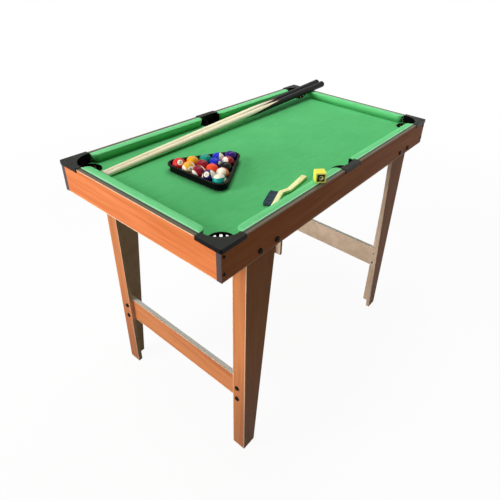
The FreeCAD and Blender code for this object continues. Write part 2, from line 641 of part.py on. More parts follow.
def cue(name, y_ends, rail_height, rail_x):
    """A cue with its tip on the cloth, which leans on a rail at rail_x."""
    tip_z = CLOTH_TOP + REST_GAP + CUE_TIP_DIAMETER / 2
    run = rail_x - CUE_TIP_X
    rise = rail_height + REST_GAP + cue_radius(run) - tip_z
    sideways = (y_ends[1] - y_ends[0]) / CUE_LENGTH
    heading = Vector(1, sideways, rise / run)
    turn = FreeCAD.Rotation(Vector(1, 0, 0), heading)
    place = FreeCAD.Placement(Vector(CUE_TIP_X, y_ends[0], tip_z), turn)
    shaft_start = CUE_PAD_LENGTH + CUE_FERRULE_LENGTH
    butt_start = CUE_LENGTH - CUE_BUTT_LENGTH
    pad = cue_length_of(0, CUE_PAD_LENGTH)
    ferrule = cue_length_of(CUE_PAD_LENGTH, shaft_start)
    shaft = cue_length_of(shaft_start, butt_start)
    butt = cue_length_of(butt_start, CUE_LENGTH)
    rim = [edge for edge in butt.Edges if edge.BoundBox.XMin > CUE_LENGTH - 0.01]
    butt = butt.makeFillet(CUE_END_FILLET, rim)
    for part_name, solids in (("tip", (pad, ferrule)), ("shaft", (shaft,)), ("butt", (butt,))):
        for solid in solids:
            solid.Placement = place
        save(name + "_" + part_name, *solids)


def cues():
    """Two cues side by side: one leans on the end cushion, the other on a corner cap."""
    cap_edge = TABLE_LENGTH / 2 - CORNER_ARM_WIDTH
    cue("cue_1", CUE_1_Y, TABLE_HEIGHT, END_NOSE)
    cue("cue_2", CUE_2_Y, PLATE_TOP, cap_edge)


def thick_line(start, end, width, low, high):
    """An upright slab with rounded ends along a plan line."""
    length = math.hypot(end[0] - start[0], end[1] - start[1])
    heading = math.degrees(math.atan2(end[1] - start[1], end[0] - start[0]))
    slab = block((0, length), (-width / 2, width / 2), (low, high))
    slab.rotate(Vector(0, 0, 0), Vector(0, 0, 1), heading)
    slab.translate(Vector(start[0], start[1], 0))
    ends = [upright_cylinder(width / 2, point, low, high) for point in (start, end)]
    return [slab] + ends


def brush():
    """A cloth brush on its side: a wooden head with a cranked handle, and its bristles."""
    low = CLOTH_TOP + REST_GAP
    high = low + BRUSH_THICKNESS
    half = BRUSH_HEAD_LENGTH / 2
    route = [(-half, 0), (half, 0), BRUSH_NECK, BRUSH_TAIL]
    pieces = []
    widths = (BRUSH_WOOD_WIDTH, BRUSH_WOOD_WIDTH, BRUSH_TAIL_WIDTH)
    for start, end, width in zip(route, route[1:], widths):
        pieces += thick_line(start, end, width, low, high)
    body = pieces[0].multiFuse(pieces[1:]).removeSplitter().Solids[0]
    tuft = half - BRISTLE_MARGIN
    root = BRUSH_WOOD_WIDTH / 2
    bristles = block(
        (-tuft, tuft), (root, root + BRISTLE_LENGTH), (low + BRISTLE_INSET, high - BRISTLE_INSET)
    )
    turn = FreeCAD.Rotation(Vector(0, 0, 1), BRUSH_TURN)
    spot = Vector(BRUSH_NOSE_DISTANCE - END_NOSE, BRUSH_SIDE_GAP - SIDE_NOSE, 0)
    place = FreeCAD.Placement(spot, turn)
    for name, solid in (("brush_body", body), ("brush_bristles", bristles)):
        solid.Placement = place
        save(name, solid)


def chalk():
    """A chalk cube in a paper wrapper, with one worn face showing in the wrapper's window."""
    low = TABLE_HEIGHT + REST_GAP
    half = CHALK_SIZE / 2
    core = half - WRAPPER_THICKNESS
    window = CHALK_WINDOW / 2
    middle = low + half
    cube = block((-core, core), (-core, core), (middle - core, middle + core))
    dimple_centre = Vector(-core + CHALK_DIMPLE_DEPTH - CHALK_DIMPLE_RADIUS, 0, middle)
    wrapper = block((-half, half), (-half, half), (low, low + CHALK_SIZE)).cut(cube)
    opening = block((-half, -core), (-window, window), (middle - window, middle + window))
    wrapper = wrapper.cut(opening).Solids[0]
    cube = cube.cut(Part.makeSphere(CHALK_DIMPLE_RADIUS, dimple_centre)).Solids[0]
    turn = FreeCAD.Rotation(Vector(0, 0, 1), CHALK_TURN)
    spot = Vector(-CHALK_MIDDLE_DISTANCE, CHALK_RAIL_INSET - TABLE_WIDTH / 2, 0)
    place = FreeCAD.Placement(spot, turn)
    for name, solid in (("chalk_cube", cube), ("chalk_wrapper", wrapper)):
        solid.Placement = place
        save(name, solid)


os.makedirs("parts", exist_ok=True)
aprons()
edge_bands()
bed()
cushions()
pockets()
legs()
fasteners()
rack_and_balls()
cues()
brush()
chalk()
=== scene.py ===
"""Small pocket billiards table with its cues, balls, rack, brush and chalk, dressed over its CAD model."""
import math

import bmesh
import bpy
import numpy as np
from mathutils import Matrix, Vector


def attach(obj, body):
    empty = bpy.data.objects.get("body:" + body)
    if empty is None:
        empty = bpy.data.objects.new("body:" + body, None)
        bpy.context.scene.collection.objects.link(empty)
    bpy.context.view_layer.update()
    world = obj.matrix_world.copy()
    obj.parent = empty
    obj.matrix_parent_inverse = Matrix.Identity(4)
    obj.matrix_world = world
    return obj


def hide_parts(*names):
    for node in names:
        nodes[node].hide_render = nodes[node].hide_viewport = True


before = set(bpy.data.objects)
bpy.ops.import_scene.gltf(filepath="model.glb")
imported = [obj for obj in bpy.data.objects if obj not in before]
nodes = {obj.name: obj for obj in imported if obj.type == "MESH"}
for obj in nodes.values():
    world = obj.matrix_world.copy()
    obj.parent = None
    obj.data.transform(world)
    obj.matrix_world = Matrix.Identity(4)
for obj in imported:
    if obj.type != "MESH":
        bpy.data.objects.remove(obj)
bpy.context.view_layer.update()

# Studio -------------------------------------------------------
# A pale floor and a white surround. Two soft lamps stand beyond the table's left end, one hangs high
# over it and a smaller one over its right end. The camera looks down over the front left corner.

CAMERA_HEADING, CAMERA_HEIGHT, CAMERA_ROLL = np.radians([-143.973, 30.816, 3.405])
CAMERA_TARGET, CAMERA_DISTANCE = np.array([0.108295, 0.030615, 0.451616]), 1.444186
CAMERA_LENS, CAMERA_SHIFT = 31.648, (-0.0624, -0.0927)


def direction(heading, height):
    """A unit step at a heading h from +X and a height e over level: (cos e cos h, cos e sin h, sin e)."""
    level = math.cos(height)
    return np.array([level * math.cos(heading), level * math.sin(heading), math.sin(height)])


def unit(vector):
    """Vectors of length 1 that point the same way."""
    return vector / np.linalg.norm(vector, axis=-1, keepdims=True)


def rolled(right, up, roll):
    """A pair of right and up steps, turned by a roll from right towards up."""
    return right * math.cos(roll) + up * math.sin(roll), up * math.cos(roll) - right * math.sin(roll)


def put(name, data):
    """A new object in the scene."""
    thing = bpy.data.objects.new(name, data)
    bpy.context.collection.objects.link(thing)
    return thing


backward = direction(CAMERA_HEADING, CAMERA_HEIGHT)
level_right = unit(np.cross(-backward, (0, 0, 1)))
camera_right, camera_up = rolled(level_right, np.cross(level_right, -backward), CAMERA_ROLL)
camera = put("camera", bpy.data.cameras.new("camera"))
camera.data.lens = CAMERA_LENS
camera.data.shift_x, camera.data.shift_y = CAMERA_SHIFT
camera_spot = CAMERA_TARGET + backward * CAMERA_DISTANCE
camera_axes = np.column_stack([camera_right, camera_up, backward, camera_spot])
camera.matrix_world = Matrix(np.vstack([camera_axes, (0, 0, 0, 1)]).tolist())
bpy.context.scene.camera = camera
bpy.context.scene.view_settings.view_transform = "Standard"

LAMP_TARGET = Vector((0, 0, 0.65))
for name, heading, height, distance, width, brightness in (
    ("low_lamp", 170, 4, 4.5, 1.2, 0.48),
    ("left_lamp", 152, 22, 4.5, 1.8, 0.50),
    ("high_lamp", 100, 79, 4.0, 1.6, 0.35),
    ("right_lamp", 20, 66, 1.5, 0.8, 0.44),
):
    away = Vector(direction(*np.radians([heading, height])))
    lamp = put(name, bpy.data.lights.new(name, "AREA"))
    lamp.location = LAMP_TARGET + away * distance
    lamp.rotation_euler = away.to_track_quat("Z", "Y").to_euler()
    lamp.data.size = width
    lamp.data.energy = brightness * (math.pi * distance) ** 2
    lamp.visible_camera = False


class Flow:
    """A shader value from an output socket. Each operator adds one maths node to the socket's tree."""

    def __init__(self, socket):
        self.socket, self.tree = socket, socket.id_data

    def __add__(self, other):
        return calc("ADD", self, other)

    def __sub__(self, other):
        return calc("SUBTRACT", self, other)

    def __rsub__(self, other):
        return calc("SUBTRACT", other, self)

    def __mul__(self, other):
        return calc("MULTIPLY", self, other)

    def __abs__(self):
        return calc("ABSOLUTE", self)

    def __gt__(self, level):
        return calc("GREATER_THAN", self, level)


def feed(inputs, values):
    """Gives input sockets their values by name or number: a flow is linked, anything else is set."""
    for name, value in values.items():
        if isinstance(value, Flow):
            value.tree.links.new(value.socket, inputs[name])
        else:
            inputs[name].default_value = value


def add(tree, kind, sockets=(), **settings):
    """The outputs of a new node of a kind, with its settings made and its input sockets fed."""
    node = tree.nodes.new("ShaderNode" + kind)
    for name, value in settings.items():
        setattr(node, name, value)
    feed(node.inputs, dict(sockets))
    return node.outputs


def calc(operation, *values):
    """The result of one step on one or two numbers, at least one of them a flow."""
    tree = next(value.tree for value in values if isinstance(value, Flow))
    return Flow(add(tree, "Math", enumerate(values), operation=operation)[0])


def vector_calc(operation, *values):
    """The result of one step on vectors: a vector, or a number for a dot product or a length."""
    outputs = add(values[0].tree, "VectorMath", enumerate(values), operation=operation)
    return Flow(outputs[1 if operation in ("DOT_PRODUCT", "LENGTH") else 0])


def rise(value, start, end):
    """0 before start, 1 after end, and a smooth step between them: 3t^2 - 2t^3."""
    sockets = {"Value": value, "From Min": start, "From Max": end}
    return Flow(add(value.tree, "MapRange", sockets, interpolation_type="SMOOTHSTEP")[0])


def blend(share, first, second):
    """The first colour where share is 0, the second where it is 1, and a straight mix between."""
    return Flow(add(share.tree, "Mix", {0: share, 6: first, 7: second}, data_type="RGBA")[2])


def finish(name, specular=0.5, **fixed):
    """A material, its shader's inputs, and object and UV coordinates. Fixed values go on the sockets."""
    material = bpy.data.materials.new(name)
    material.use_nodes = True
    inputs = material.node_tree.nodes["Principled BSDF"].inputs
    feed(inputs, {"Specular IOR Level": specular})
    feed(inputs, {socket.replace("_", " "): value for socket, value in fixed.items()})
    spots = add(material.node_tree, "TexCoord")
    return material, inputs, Flow(spots["Object"]), Flow(spots["UV"])


def seen_directly(tree):
    """1 for camera, glossy and transmission rays, 0 for the rays that light other things."""
    path = add(tree, "LightPath")
    seen, glossy, through = [Flow(path["Is %s Ray" % ray]) for ray in ("Camera", "Glossy", "Transmission")]
    return calc("MAXIMUM", seen, calc("MAXIMUM", glossy, through))


BLACK, WHITE = (0, 0, 0, 1), (1, 1, 1, 1)
SURROUND_LIGHT, SURROUND_TINT = 0.066, (1.0, 1.14, 0.70, 1.0)
world = bpy.data.worlds.new("surround")
world.use_nodes = True
bpy.context.scene.world = world
seen = seen_directly(world.node_tree)
feed(world.node_tree.nodes["Background"].inputs, {
    "Strength": seen * (1 - SURROUND_LIGHT) + SURROUND_LIGHT,
    "Color": blend(seen, SURROUND_TINT, WHITE),
})

FLOOR_RADIUS, FLOOR_RIM_POINTS = 9.0, 96
FLOOR_NEAR_GLOW, FLOOR_FAR_GLOW, FLOOR_FADE = 0.94, 1.0, (0.9, 2.6)
FLOOR_LIGHTS, FLOOR_SHOWS = (0.19, 0.19, 0.18, 1), (0.95, 0.95, 0.95, 1)
turns = np.linspace(0, 2 * math.pi, FLOOR_RIM_POINTS, endpoint=False)
floor_rim = np.column_stack([np.cos(turns), np.sin(turns), 0 * turns]) * FLOOR_RADIUS
floor_mesh = bpy.data.meshes.new("floor")
floor_mesh.from_pydata(floor_rim.tolist(), [], [list(range(FLOOR_RIM_POINTS))])
floor = put("floor", floor_mesh)
floor_paint, shader, spot, _ = finish("pale_floor", specular=0.0, Roughness=1.0)
seen = seen_directly(spot.tree)
feed(shader, {"Base Color": blend(seen, FLOOR_LIGHTS, FLOOR_SHOWS)})
faded = rise(vector_calc("LENGTH", spot), *FLOOR_FADE)
glow = faded * (FLOOR_FAR_GLOW - FLOOR_NEAR_GLOW) + FLOOR_NEAR_GLOW
matt = Flow(spot.tree.nodes["Principled BSDF"].outputs[0])
white = Flow(add(spot.tree, "Emission", {"Color": WHITE, "Strength": 1.0})[0])
both = Flow(add(spot.tree, "MixShader", {0: glow * seen, 1: matt, 2: white})[0])
feed(spot.tree.nodes["Material Output"].inputs, {"Surface": both})
floor_mesh.materials.append(floor_paint)

# Rails --------------------------------------------------------
# Four 13 mm fibreboard rails, with a printed wood foil on the outer faces and bare board inside.
# The long rails run the full length and the short ones stand between them, held by black screws.


def linear(red, green, blue):
    """A screen colour as linear light: ((c + 0.055) / 1.055) to the power 2.4, for c from 0 to 1."""
    screen = np.array([red, green, blue]) / 255
    return (*((screen + 0.055) / 1.055) ** 2.4, 1.0)


TABLE_LENGTH, TABLE_WIDTH, TABLE_HEIGHT = 0.920, 0.520, 0.726
HALF_X, HALF_Y = TABLE_LENGTH / 2, TABLE_WIDTH / 2
# The rails' foil takes a pale painted highlight along its arrises; the last number on the next line is its
# width.
RAIL_THICKNESS, RAIL_LOW, RAIL_HIGH, RAIL_HIGHLIGHT_WIDTH = 0.013, 0.650, 0.7252, 0.0026
RAIL_FOIL = linear(240, 142, 86), linear(214, 114, 60)
# The pale colour on the next line is a painted highlight along the foil's arrises; the dark one is painted
# shade towards the floor, starting at the height after it.
FOIL_PAINTED_HIGHLIGHT, FOOT_SHADE_COLOUR, FOOT_SHADE_TOP, FACE_SKIN = linear(252, 212, 180), linear(60, 44, 32), 0.40, 0.0003
NOWHERE = 9.0
# The last colour on the next line is near white: painted light for the lit top faces of bare board.
BOARD_LIGHT, BOARD_DARK, BOARD_PAINTED_LIGHT = linear(244, 216, 190), linear(214, 182, 154), linear(255, 253, 246)


def new_group(name, outputs, **inputs):
    """A shader group to fill: the sockets of its outputs, and its inputs as flows, first of all Place.
    One number makes a Float input, three make a Vector and four a Color."""
    inputs = {"Place": (0, 0, 0), **inputs}
    group = bpy.data.node_groups.new(name, "ShaderNodeTree")
    for socket, value in inputs.items():
        kind = {1: "Float", 3: "Vector", 4: "Color"}[np.size(value)]
        made = group.interface.new_socket(socket, in_out="INPUT", socket_type="NodeSocket" + kind)
        made.default_value = value
    for socket in outputs:
        kind = "Color" if socket == "Color" else "Float"
        group.interface.new_socket(socket, in_out="OUTPUT", socket_type="NodeSocket" + kind)
    given, results = group.nodes.new("NodeGroupInput").outputs, group.nodes.new("NodeGroupOutput").inputs
    return group, results, [Flow(given[socket]) for socket in inputs]


def use(group, place, **sockets):
    """The outputs, as flows by name, of a group that is put in the tree of its place."""
    outputs = add(place.tree, "Group", {"Place": place, **sockets}, node_tree=group)
    return {socket.name: Flow(socket) for socket in outputs}


def noise(place, stretch, detail=3.0, roughness=0.55, distortion=0.0):
    """Noise from 0 to 1 whose cells have the size 1 / stretch, in metres, along each axis."""
    place = vector_calc("MULTIPLY", place, np.ones(3) * stretch)
    sockets = {"Vector": place, "Scale": 1.0, "Detail": detail, "Roughness": roughness,
               "Distortion": distortion}
    return Flow(add(place.tree, "TexNoise", sockets)["Fac"])


def mapped(vector, **how):
    """A vector turned by Rotation, or moved by Location."""
    return Flow(add(vector.tree, "Mapping", {"Vector": vector, **how})[0])


def split(vector):
    """A vector's three parts."""
    return [Flow(part) for part in add(vector.tree, "SeparateXYZ", {0: vector})]


def mix(share, first, second):
    """The first number where share is 0, the second where it is 1, and a straight mix between."""
    return Flow(add(share.tree, "Mix", {0: share, 2: first, 3: second})[0])


def least(value, *others):
    """The smallest of some numbers."""
    for other in others:
        value = calc("MINIMUM", value, other)
    return value


def surface(shader, skin=(), depth=0.0, **changes):
    """Feeds a shader a skin's Color and Roughness, and a bump whose Height of 0 to 1 stands for a depth
    in metres. Changes replace what the skin gives."""
    skin = {**dict(skin), **changes}
    bump = add(skin["Height"].tree, "Bump", {"Height": skin["Height"], "Distance": depth})
    feed(shader, {"Base Color": skin["Color"], "Roughness": skin["Roughness"], "Normal": Flow(bump[0])})


def dress(material, *names):
    """One material on each of these CAD nodes."""
    for name in names:
        nodes[name].data.materials.clear()
        nodes[name].data.materials.append(material)


# Wood figure along local X: broad bands, long streaks and short dark pores.
wood_grain, results, (place, light, dark, pore_share, fineness) = new_group(
    "wood grain", ("Color", "Roughness", "Height"), Light=WHITE, Dark=BLACK, Pores=0.5, Fineness=1.0)
place = vector_calc("MULTIPLY", place, fineness)
streaks = noise(place, (7, 190, 190), detail=5.0, roughness=0.62)
figure = noise(place, (1.6, 21, 21), detail=2.0, distortion=1.4) * 0.55 + streaks * 0.6
pores = rise(noise(place, (60, 1100, 1100), detail=2.0), 0.60, 0.74) * pore_share
feed(results, {
    "Color": blend(calc("MAXIMUM", rise(figure, 0.40, 0.80), pores), light, dark),
    "Roughness": streaks * 0.22 + 0.34,
    "Height": streaks - pores,
})

# Bare fibreboard: fine fibres in two tones with soft blotches.
bare_board, results, (place,) = new_group("bare fibreboard", ("Color", "Height"))
fibres = noise(place, 420, detail=4.0, roughness=0.7)
tone = fibres * 0.7 + noise(place, 28, detail=2.0) * 0.5
feed(results, {"Color": blend(rise(tone, 0.35, 0.85), BOARD_LIGHT, BOARD_DARK), "Height": fibres})

# Edge mask, used for real worn arrises and for painted highlights along arrises: 1 within a ragged width
# of an edge, from the distance to it in metres.
edge_wear_and_highlight, results, (place, distance, width) = new_group(
    "edge wear and highlight", ("Mask",), Distance=1.0, Width=0.001)
width = width * (noise(place, 160, detail=4.0, roughness=0.65) * 1.4 + 0.3)
feed(results, {"Mask": 1 - rise(calc("DIVIDE", distance, width), 0.5, 1.0)})


def board_finish(name, grain_turn, face, edges, foil, foot_shade=0.0, highlight_width=0.0019, painted_light_above=NOWHERE):
    """Foil on the outer face and bare board elsewhere. face is (axis, level): the foil is where the
    coordinate's size is over the level, less a skin. edges are (axis, level) planes along which the
    foil takes a pale painted highlight, ragged like wear. foil is its two colours, the next argument how
    much painted shade darkens it from 0.40 m down to the floor, and the one after how wide the painted
    highlight at an edge is. Above the height given last the bare board is painted near white: painted
    light on its top face."""
    material, shader, spot, _ = finish(name, specular=0.05)
    turned_spot = mapped(spot, Rotation=grain_turn)
    grain = use(wood_grain, turned_spot, Light=foil[0], Dark=foil[1], Pores=0.4)
    board = use(bare_board, spot)
    size = split(vector_calc("ABSOLUTE", spot))
    nearest = least(*[abs(size[axis] - level) for axis, level in edges])
    # Painted highlight: the foil is painted pale along its arrises, in a ragged band.
    wear_and_highlight = use(edge_wear_and_highlight, spot, Distance=nearest, Width=highlight_width)["Mask"]
    # Painted shade: the foil darkens from 0.40 m down towards the floor.
    foot_shade_share = rise(size[2], FOOT_SHADE_TOP, 0.0) * foot_shade
    printed = blend(foot_shade_share, blend(wear_and_highlight, grain["Color"], FOIL_PAINTED_HIGHLIGHT), FOOT_SHADE_COLOUR)
    # Painted light: bare board above the given height is painted near white, for its lit top face.
    bare = blend(rise(size[2], painted_light_above - FACE_SKIN, painted_light_above), board["Color"], BOARD_PAINTED_LIGHT)
    outside = size[face[0]] > face[1] - FACE_SKIN
    surface(shader, depth=0.00012, Color=blend(outside, bare, printed),
            Roughness=mix(outside, 0.85, grain["Roughness"]),
            Height=mix(outside, board["Height"], grain["Height"]))
    return material


ALONG_X, ALONG_Y, ALONG_Z = (0, 0, 0), (0, 0, -math.pi / 2), (0, math.pi / 2, 0)
RAIL_EDGES = [(2, RAIL_HIGH), (2, RAIL_LOW)]
dress(board_finish("long_rail_foil", ALONG_X, (1, HALF_Y), RAIL_EDGES, RAIL_FOIL, highlight_width=RAIL_HIGHLIGHT_WIDTH),
      "front_apron", "back_apron")
dress(board_finish("short_rail_foil", ALONG_Y, (0, HALF_X), RAIL_EDGES, RAIL_FOIL, highlight_width=RAIL_HIGHLIGHT_WIDTH),
      "left_apron", "right_apron")

# Edge strips --------------------------------------------------
# Dark plastic strip, 0.8 mm thick, ironed on the top edges of the rails and on the sawn ends of the
# long ones. On top it is painted greenish, a painted reflection of the cloth, and paler towards its outer
# edge, a painted highlight.

# The first two colours are for the strip's top: a painted green reflection of the cloth, and a painted
# highlight near the outer edge.
STRIP_TOP_GREEN_REFLECTION, STRIP_EDGE_HIGHLIGHT = linear(52, 64, 50), linear(108, 96, 78)
STRIP_END, STRIP_FLECK = linear(78, 66, 68), linear(62, 58, 60)
STRIP_HIGHLIGHT_FADE = (0.0085, 0.0045)

# Moulded plastic skin: fine pebbling, scattered pale flecks and rubbed patches.
moulded_skin, results, (place, plain, fleck, flecks, cell) = new_group(
    "moulded skin", ("Color", "Roughness", "Height"), Plain=BLACK, Fleck=WHITE, Flecks=0.5, Cell=1500.0)
dots = rise(noise(place, 850, roughness=0.7), 0.50, 0.72) * flecks
feed(results, {
    "Color": blend(dots, plain, fleck),
    "Roughness": noise(place, 45) * 0.3 + 0.3,
    "Height": Flow(add(place.tree, "TexVoronoi", {"Vector": place, "Scale": cell})["Distance"]),
})

edge_strip, shader, spot, _ = finish("edge_strip", specular=0.15)
size = split(vector_calc("ABSOLUTE", spot))
# On the top: painted highlight near the outer edge, painted green reflection of the cloth further in.
outer = rise(least(HALF_X - size[0], HALF_Y - size[1]), *STRIP_HIGHLIGHT_FADE)
plain = blend(size[2] > RAIL_HIGH, STRIP_END, blend(outer, STRIP_TOP_GREEN_REFLECTION, STRIP_EDGE_HIGHLIGHT))
skin = use(moulded_skin, spot, Plain=plain, Fleck=STRIP_FLECK, Flecks=0.45, Cell=900.0)
surface(shader, skin, depth=0.00008)
dress(edge_strip, "edge_bands")

# Bed ----------------------------------------------------------
# A thin fibreboard bed on ledges screwed inside the rails. Green cloth is stretched over it and
# turned down into the six pocket holes.

bare, shader, spot, _ = finish("bare_fibreboard", specular=0.3)
surface(shader, use(bare_board, spot), depth=0.0002, Roughness=0.85)
dress(bare, "bed_board", "bed_battens")

CLOTH_TOP, CLOTH_THICKNESS, THREAD = 0.704, 0.0008, 0.0011
CLOTH_LIGHT, CLOTH_DARK, CLOTH_BUMP = linear(96, 196, 122), linear(80, 180, 106), 0.00022
CLOTH_SHINE = {"specular": 0.1, "Sheen_Weight": 0.03, "Sheen_Roughness": 0.5}

# Napped cloth: crossed threads, loose fibres, brushed nap and faint blotches; place in metres.
napped_cloth, results, (place, light, dark) = new_group(
    "napped cloth", ("Color", "Roughness", "Height"), Light=WHITE, Dark=BLACK)
warp, weft = [calc("SINE", part * (2 * math.pi / THREAD)) for part in split(place)[:2]]
weave = (warp + weft) * 0.2 + 0.5
fibre = noise(place, (900, 2600, 2600), detail=4.0, roughness=0.7)
nap = noise(place, (26, 90, 90), detail=4.0, roughness=0.6, distortion=0.8)
tone = fibre * 0.45 + nap * 0.35 + noise(place, 9) * 0.35 + weave * 0.16
feed(results, {
    "Color": blend(rise(tone, 0.45, 0.90), light, dark),
    "Roughness": fibre * 0.2 + 0.75,
    "Height": fibre * 0.5 + weave,
})


def skin_mesh(name, points, faces, lengths, sharp=None):
    """A mesh from points, faces and each point's two lengths over the surface in metres, which become
    its UV map. Points that meet are merged, so seams and poles are closed."""
    mesh = bpy.data.meshes.new(name)
    mesh.from_pydata(points.tolist(), [], faces.tolist())
    chart = mesh.uv_layers.new(name="lengths")
    chart.data.foreach_set("uv", lengths[faces.ravel()].ravel())
    work = bmesh.new()
    work.from_mesh(mesh)
    bmesh.ops.remove_doubles(work, verts=work.verts, dist=MERGE_DISTANCE)
    bmesh.ops.recalc_face_normals(work, faces=work.faces)
    work.to_mesh(mesh)
    work.free()
    mesh.polygons.foreach_set("use_smooth", np.ones(len(mesh.polygons), bool))
    if sharp is not None:
        mesh.set_sharp_from_angle(angle=math.radians(sharp))
    return mesh


def grid_faces(rows, columns):
    """The quads that join neighbours in a grid of rows x columns points, numbered row by row."""
    index = np.arange(rows * columns).reshape(rows, columns)
    corners = [index[:-1, :-1], index[1:, :-1], index[1:, 1:], index[:-1, 1:]]
    return np.stack(corners, axis=-1).reshape(-1, 4)


def travelled(points):
    """The distance along a line to each of its points."""
    return np.append(0, np.cumsum(np.linalg.norm(np.diff(points, axis=0), axis=1)))


def grid_skin(name, points, lengths=None, sharp=None):
    """The skin over a grid of points, rows x columns x 3. Where no lengths are given, they are those
    along the middle column and the middle row."""
    rows, columns = points.shape[:2]
    if lengths is None:
        over, down = travelled(points[rows // 2]), travelled(points[:, columns // 2])
        lengths = np.stack(np.meshgrid(over, down), axis=-1)
    return skin_mesh(name, points.reshape(-1, 3), grid_faces(rows, columns), lengths.reshape(-1, 2), sharp)


def place_piece(name, mesh, body, slot, node, *materials):
    """A finished piece: its object at the origin, its materials, the body it rides on, its slot, which is
    not used, and the CAD node that it stands for."""
    for material in materials:
        mesh.materials.append(material)
    piece = put(name, mesh)
    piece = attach(piece, body) or piece
    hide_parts(node)
    return piece


def raised(plan, height):
    """Points (x, y, z) from plan points and their heights."""
    return np.concatenate([plan, np.broadcast_to(height, plan.shape[:-1])[..., None]], axis=-1)


CORNER_HOLE, CORNER_HOLE_INSET = 0.0295, 0.0425
SIDE_HOLE, SIDE_HOLE_INSET = 0.0330, 0.023
CLOTH_STEP, RIM_REACH = 0.004, 0.62
LIP_ROUND, LIP_DEPTH, LIP_LEVELS = 0.0009, 0.0045, 6
MERGE_DISTANCE, ROUNDING = 2e-6, 1e-7


def bed_cloth_mesh():
    """The sheet is a plane grid (x, y). Points near a hole's rim, at distance d from its centre, move
    out to the rim; faces inside it go. The rim then turns down: its radius shrinks by
    LIP_ROUND sin(a) and it drops by LIP_ROUND (1 - cos(a)) for a from 0 to 90 degrees, then straight."""
    half = np.array([HALF_X, HALF_Y]) - RAIL_THICKNESS
    counts = np.round(2 * half / CLOTH_STEP).astype(int) + 1
    x, y = [np.linspace(-h, h, n) for h, n in zip(half, counts)]
    plane = np.stack(np.meshgrid(x, y, indexing="ij"), axis=-1).reshape(-1, 2)
    corner = np.array([HALF_X, HALF_Y]) - CORNER_HOLE_INSET
    centres = np.array([(i * corner[0], j * corner[1]) for i in (-1, 1) for j in (-1, 1)]
                       + [(0, j * (HALF_Y - SIDE_HOLE_INSET)) for j in (-1, 1)])
    radii = np.array([CORNER_HOLE] * 4 + [SIDE_HOLE] * 2) + LIP_ROUND
    away = plane[:, None] - centres[None]
    distance = np.linalg.norm(away, axis=2)
    which = np.argmin(distance - radii, axis=1)
    row = np.arange(len(plane))
    away, distance, radius = away[row, which], distance[row, which], radii[which]
    on_rim = np.abs(distance - radius) < RIM_REACH * CLOTH_STEP
    snapped = centres[which] + away * (radius / np.maximum(distance, ROUNDING))[:, None]
    plane = np.where(on_rim[:, None], snapped, plane)
    beyond = (np.abs(plane) > half + ROUNDING).any(axis=1)
    plane = np.clip(plane, -half, half)
    faces = grid_faces(*counts)
    middle = plane[faces].mean(axis=1)
    gap = np.linalg.norm(middle[:, None] - centres[None], axis=2)
    notched = (np.abs(middle) > corner).all(axis=1)
    faces = faces[~((gap < radii).any(axis=1) | notched)]
    edges = np.concatenate([faces[:, [i, (i + 1) % 4]] for i in range(4)])
    _, back, times = np.unique(np.sort(edges, axis=1), axis=0, return_inverse=True, return_counts=True)
    rim = edges[(times[back.ravel()] == 1) & (on_rim & ~beyond)[edges].all(axis=1)]
    names, rim = np.unique(rim, return_inverse=True)
    rim = rim.reshape(-1, 2)
    outward = (plane[names] - centres[which[names]]) / radii[which[names]][:, None]
    layers, quads = [raised(plane, CLOTH_TOP)], [faces]
    turn = np.linspace(0, math.pi / 2, LIP_LEVELS)
    shrink = np.append(LIP_ROUND * np.sin(turn), LIP_ROUND)
    drop = np.append(LIP_ROUND * (1 - np.cos(turn)), LIP_DEPTH)
    last = names
    for level in range(1, LIP_LEVELS + 1):
        ring = plane[names] - outward * shrink[level]
        new = sum(map(len, layers)) + np.arange(len(ring))
        layers.append(raised(ring, CLOTH_TOP - drop[level]))
        quads.append(np.stack([last[rim[:, 1]], last[rim[:, 0]], new[rim[:, 0]], new[rim[:, 1]]], axis=1))
        last = new
    used, faces = np.unique(np.concatenate(quads), return_inverse=True)
    points = np.concatenate(layers)[used]
    return skin_mesh("bed_cloth_sheet", points, faces.reshape(-1, 4), points[:, :2])


bed_cloth, shader, spot, _ = finish("bed_cloth", **CLOTH_SHINE)
surface(shader, use(napped_cloth, spot, Light=CLOTH_LIGHT, Dark=CLOTH_DARK), depth=CLOTH_BUMP)
sheet = place_piece("bed_cloth_sheet", bed_cloth_mesh(), "table", "bed_cloth", "bed_cloth", bed_cloth)
body_of_cloth = sheet.modifiers.new("thickness", "SOLIDIFY")
body_of_cloth.thickness, body_of_cloth.offset = CLOTH_THICKNESS, -1

# Cushions -----------------------------------------------------
# Six rubber strips with cloth drawn tight over them. The nose stands out at the top, the back edge
# lies a little over the rail, and the ends round towards the pockets, with small pleats underneath.

CUSHION_WIDTH, CUSHION_END_RADIUS, CORNER_MOUTH, SIDE_MOUTH = 0.0187, 0.016, 0.067, 0.068
CUSHION_LOW, CUSHION_HIGH = CLOTH_TOP + 0.00005, TABLE_HEIGHT + 0.0007
CUSHION_LIGHT, CUSHION_DARK = linear(124, 222, 150), linear(106, 204, 130)
# On the next line, the pale colour is a painted highlight where the cloth turns over the rail, and the
# dark one is painted shade low on the walls.
CUSHION_EDGE_HIGHLIGHT, CUSHION_FOOT_SHADE = linear(156, 226, 174), linear(78, 176, 104)
EDGE_HIGHLIGHT_FADE, FOOT_SHADE_FADE = (0.0024, 0.0010), (TABLE_HEIGHT - 0.004, TABLE_HEIGHT - 0.018)
TOP_FILLET, CROWN, OVERLAP, OVERLAP_LEVEL = 0.0018, 0.0007, 0.0024, TABLE_HEIGHT + 0.0001
SPINE_INSET, SPINE_ACROSS = 0.012, 0.0095
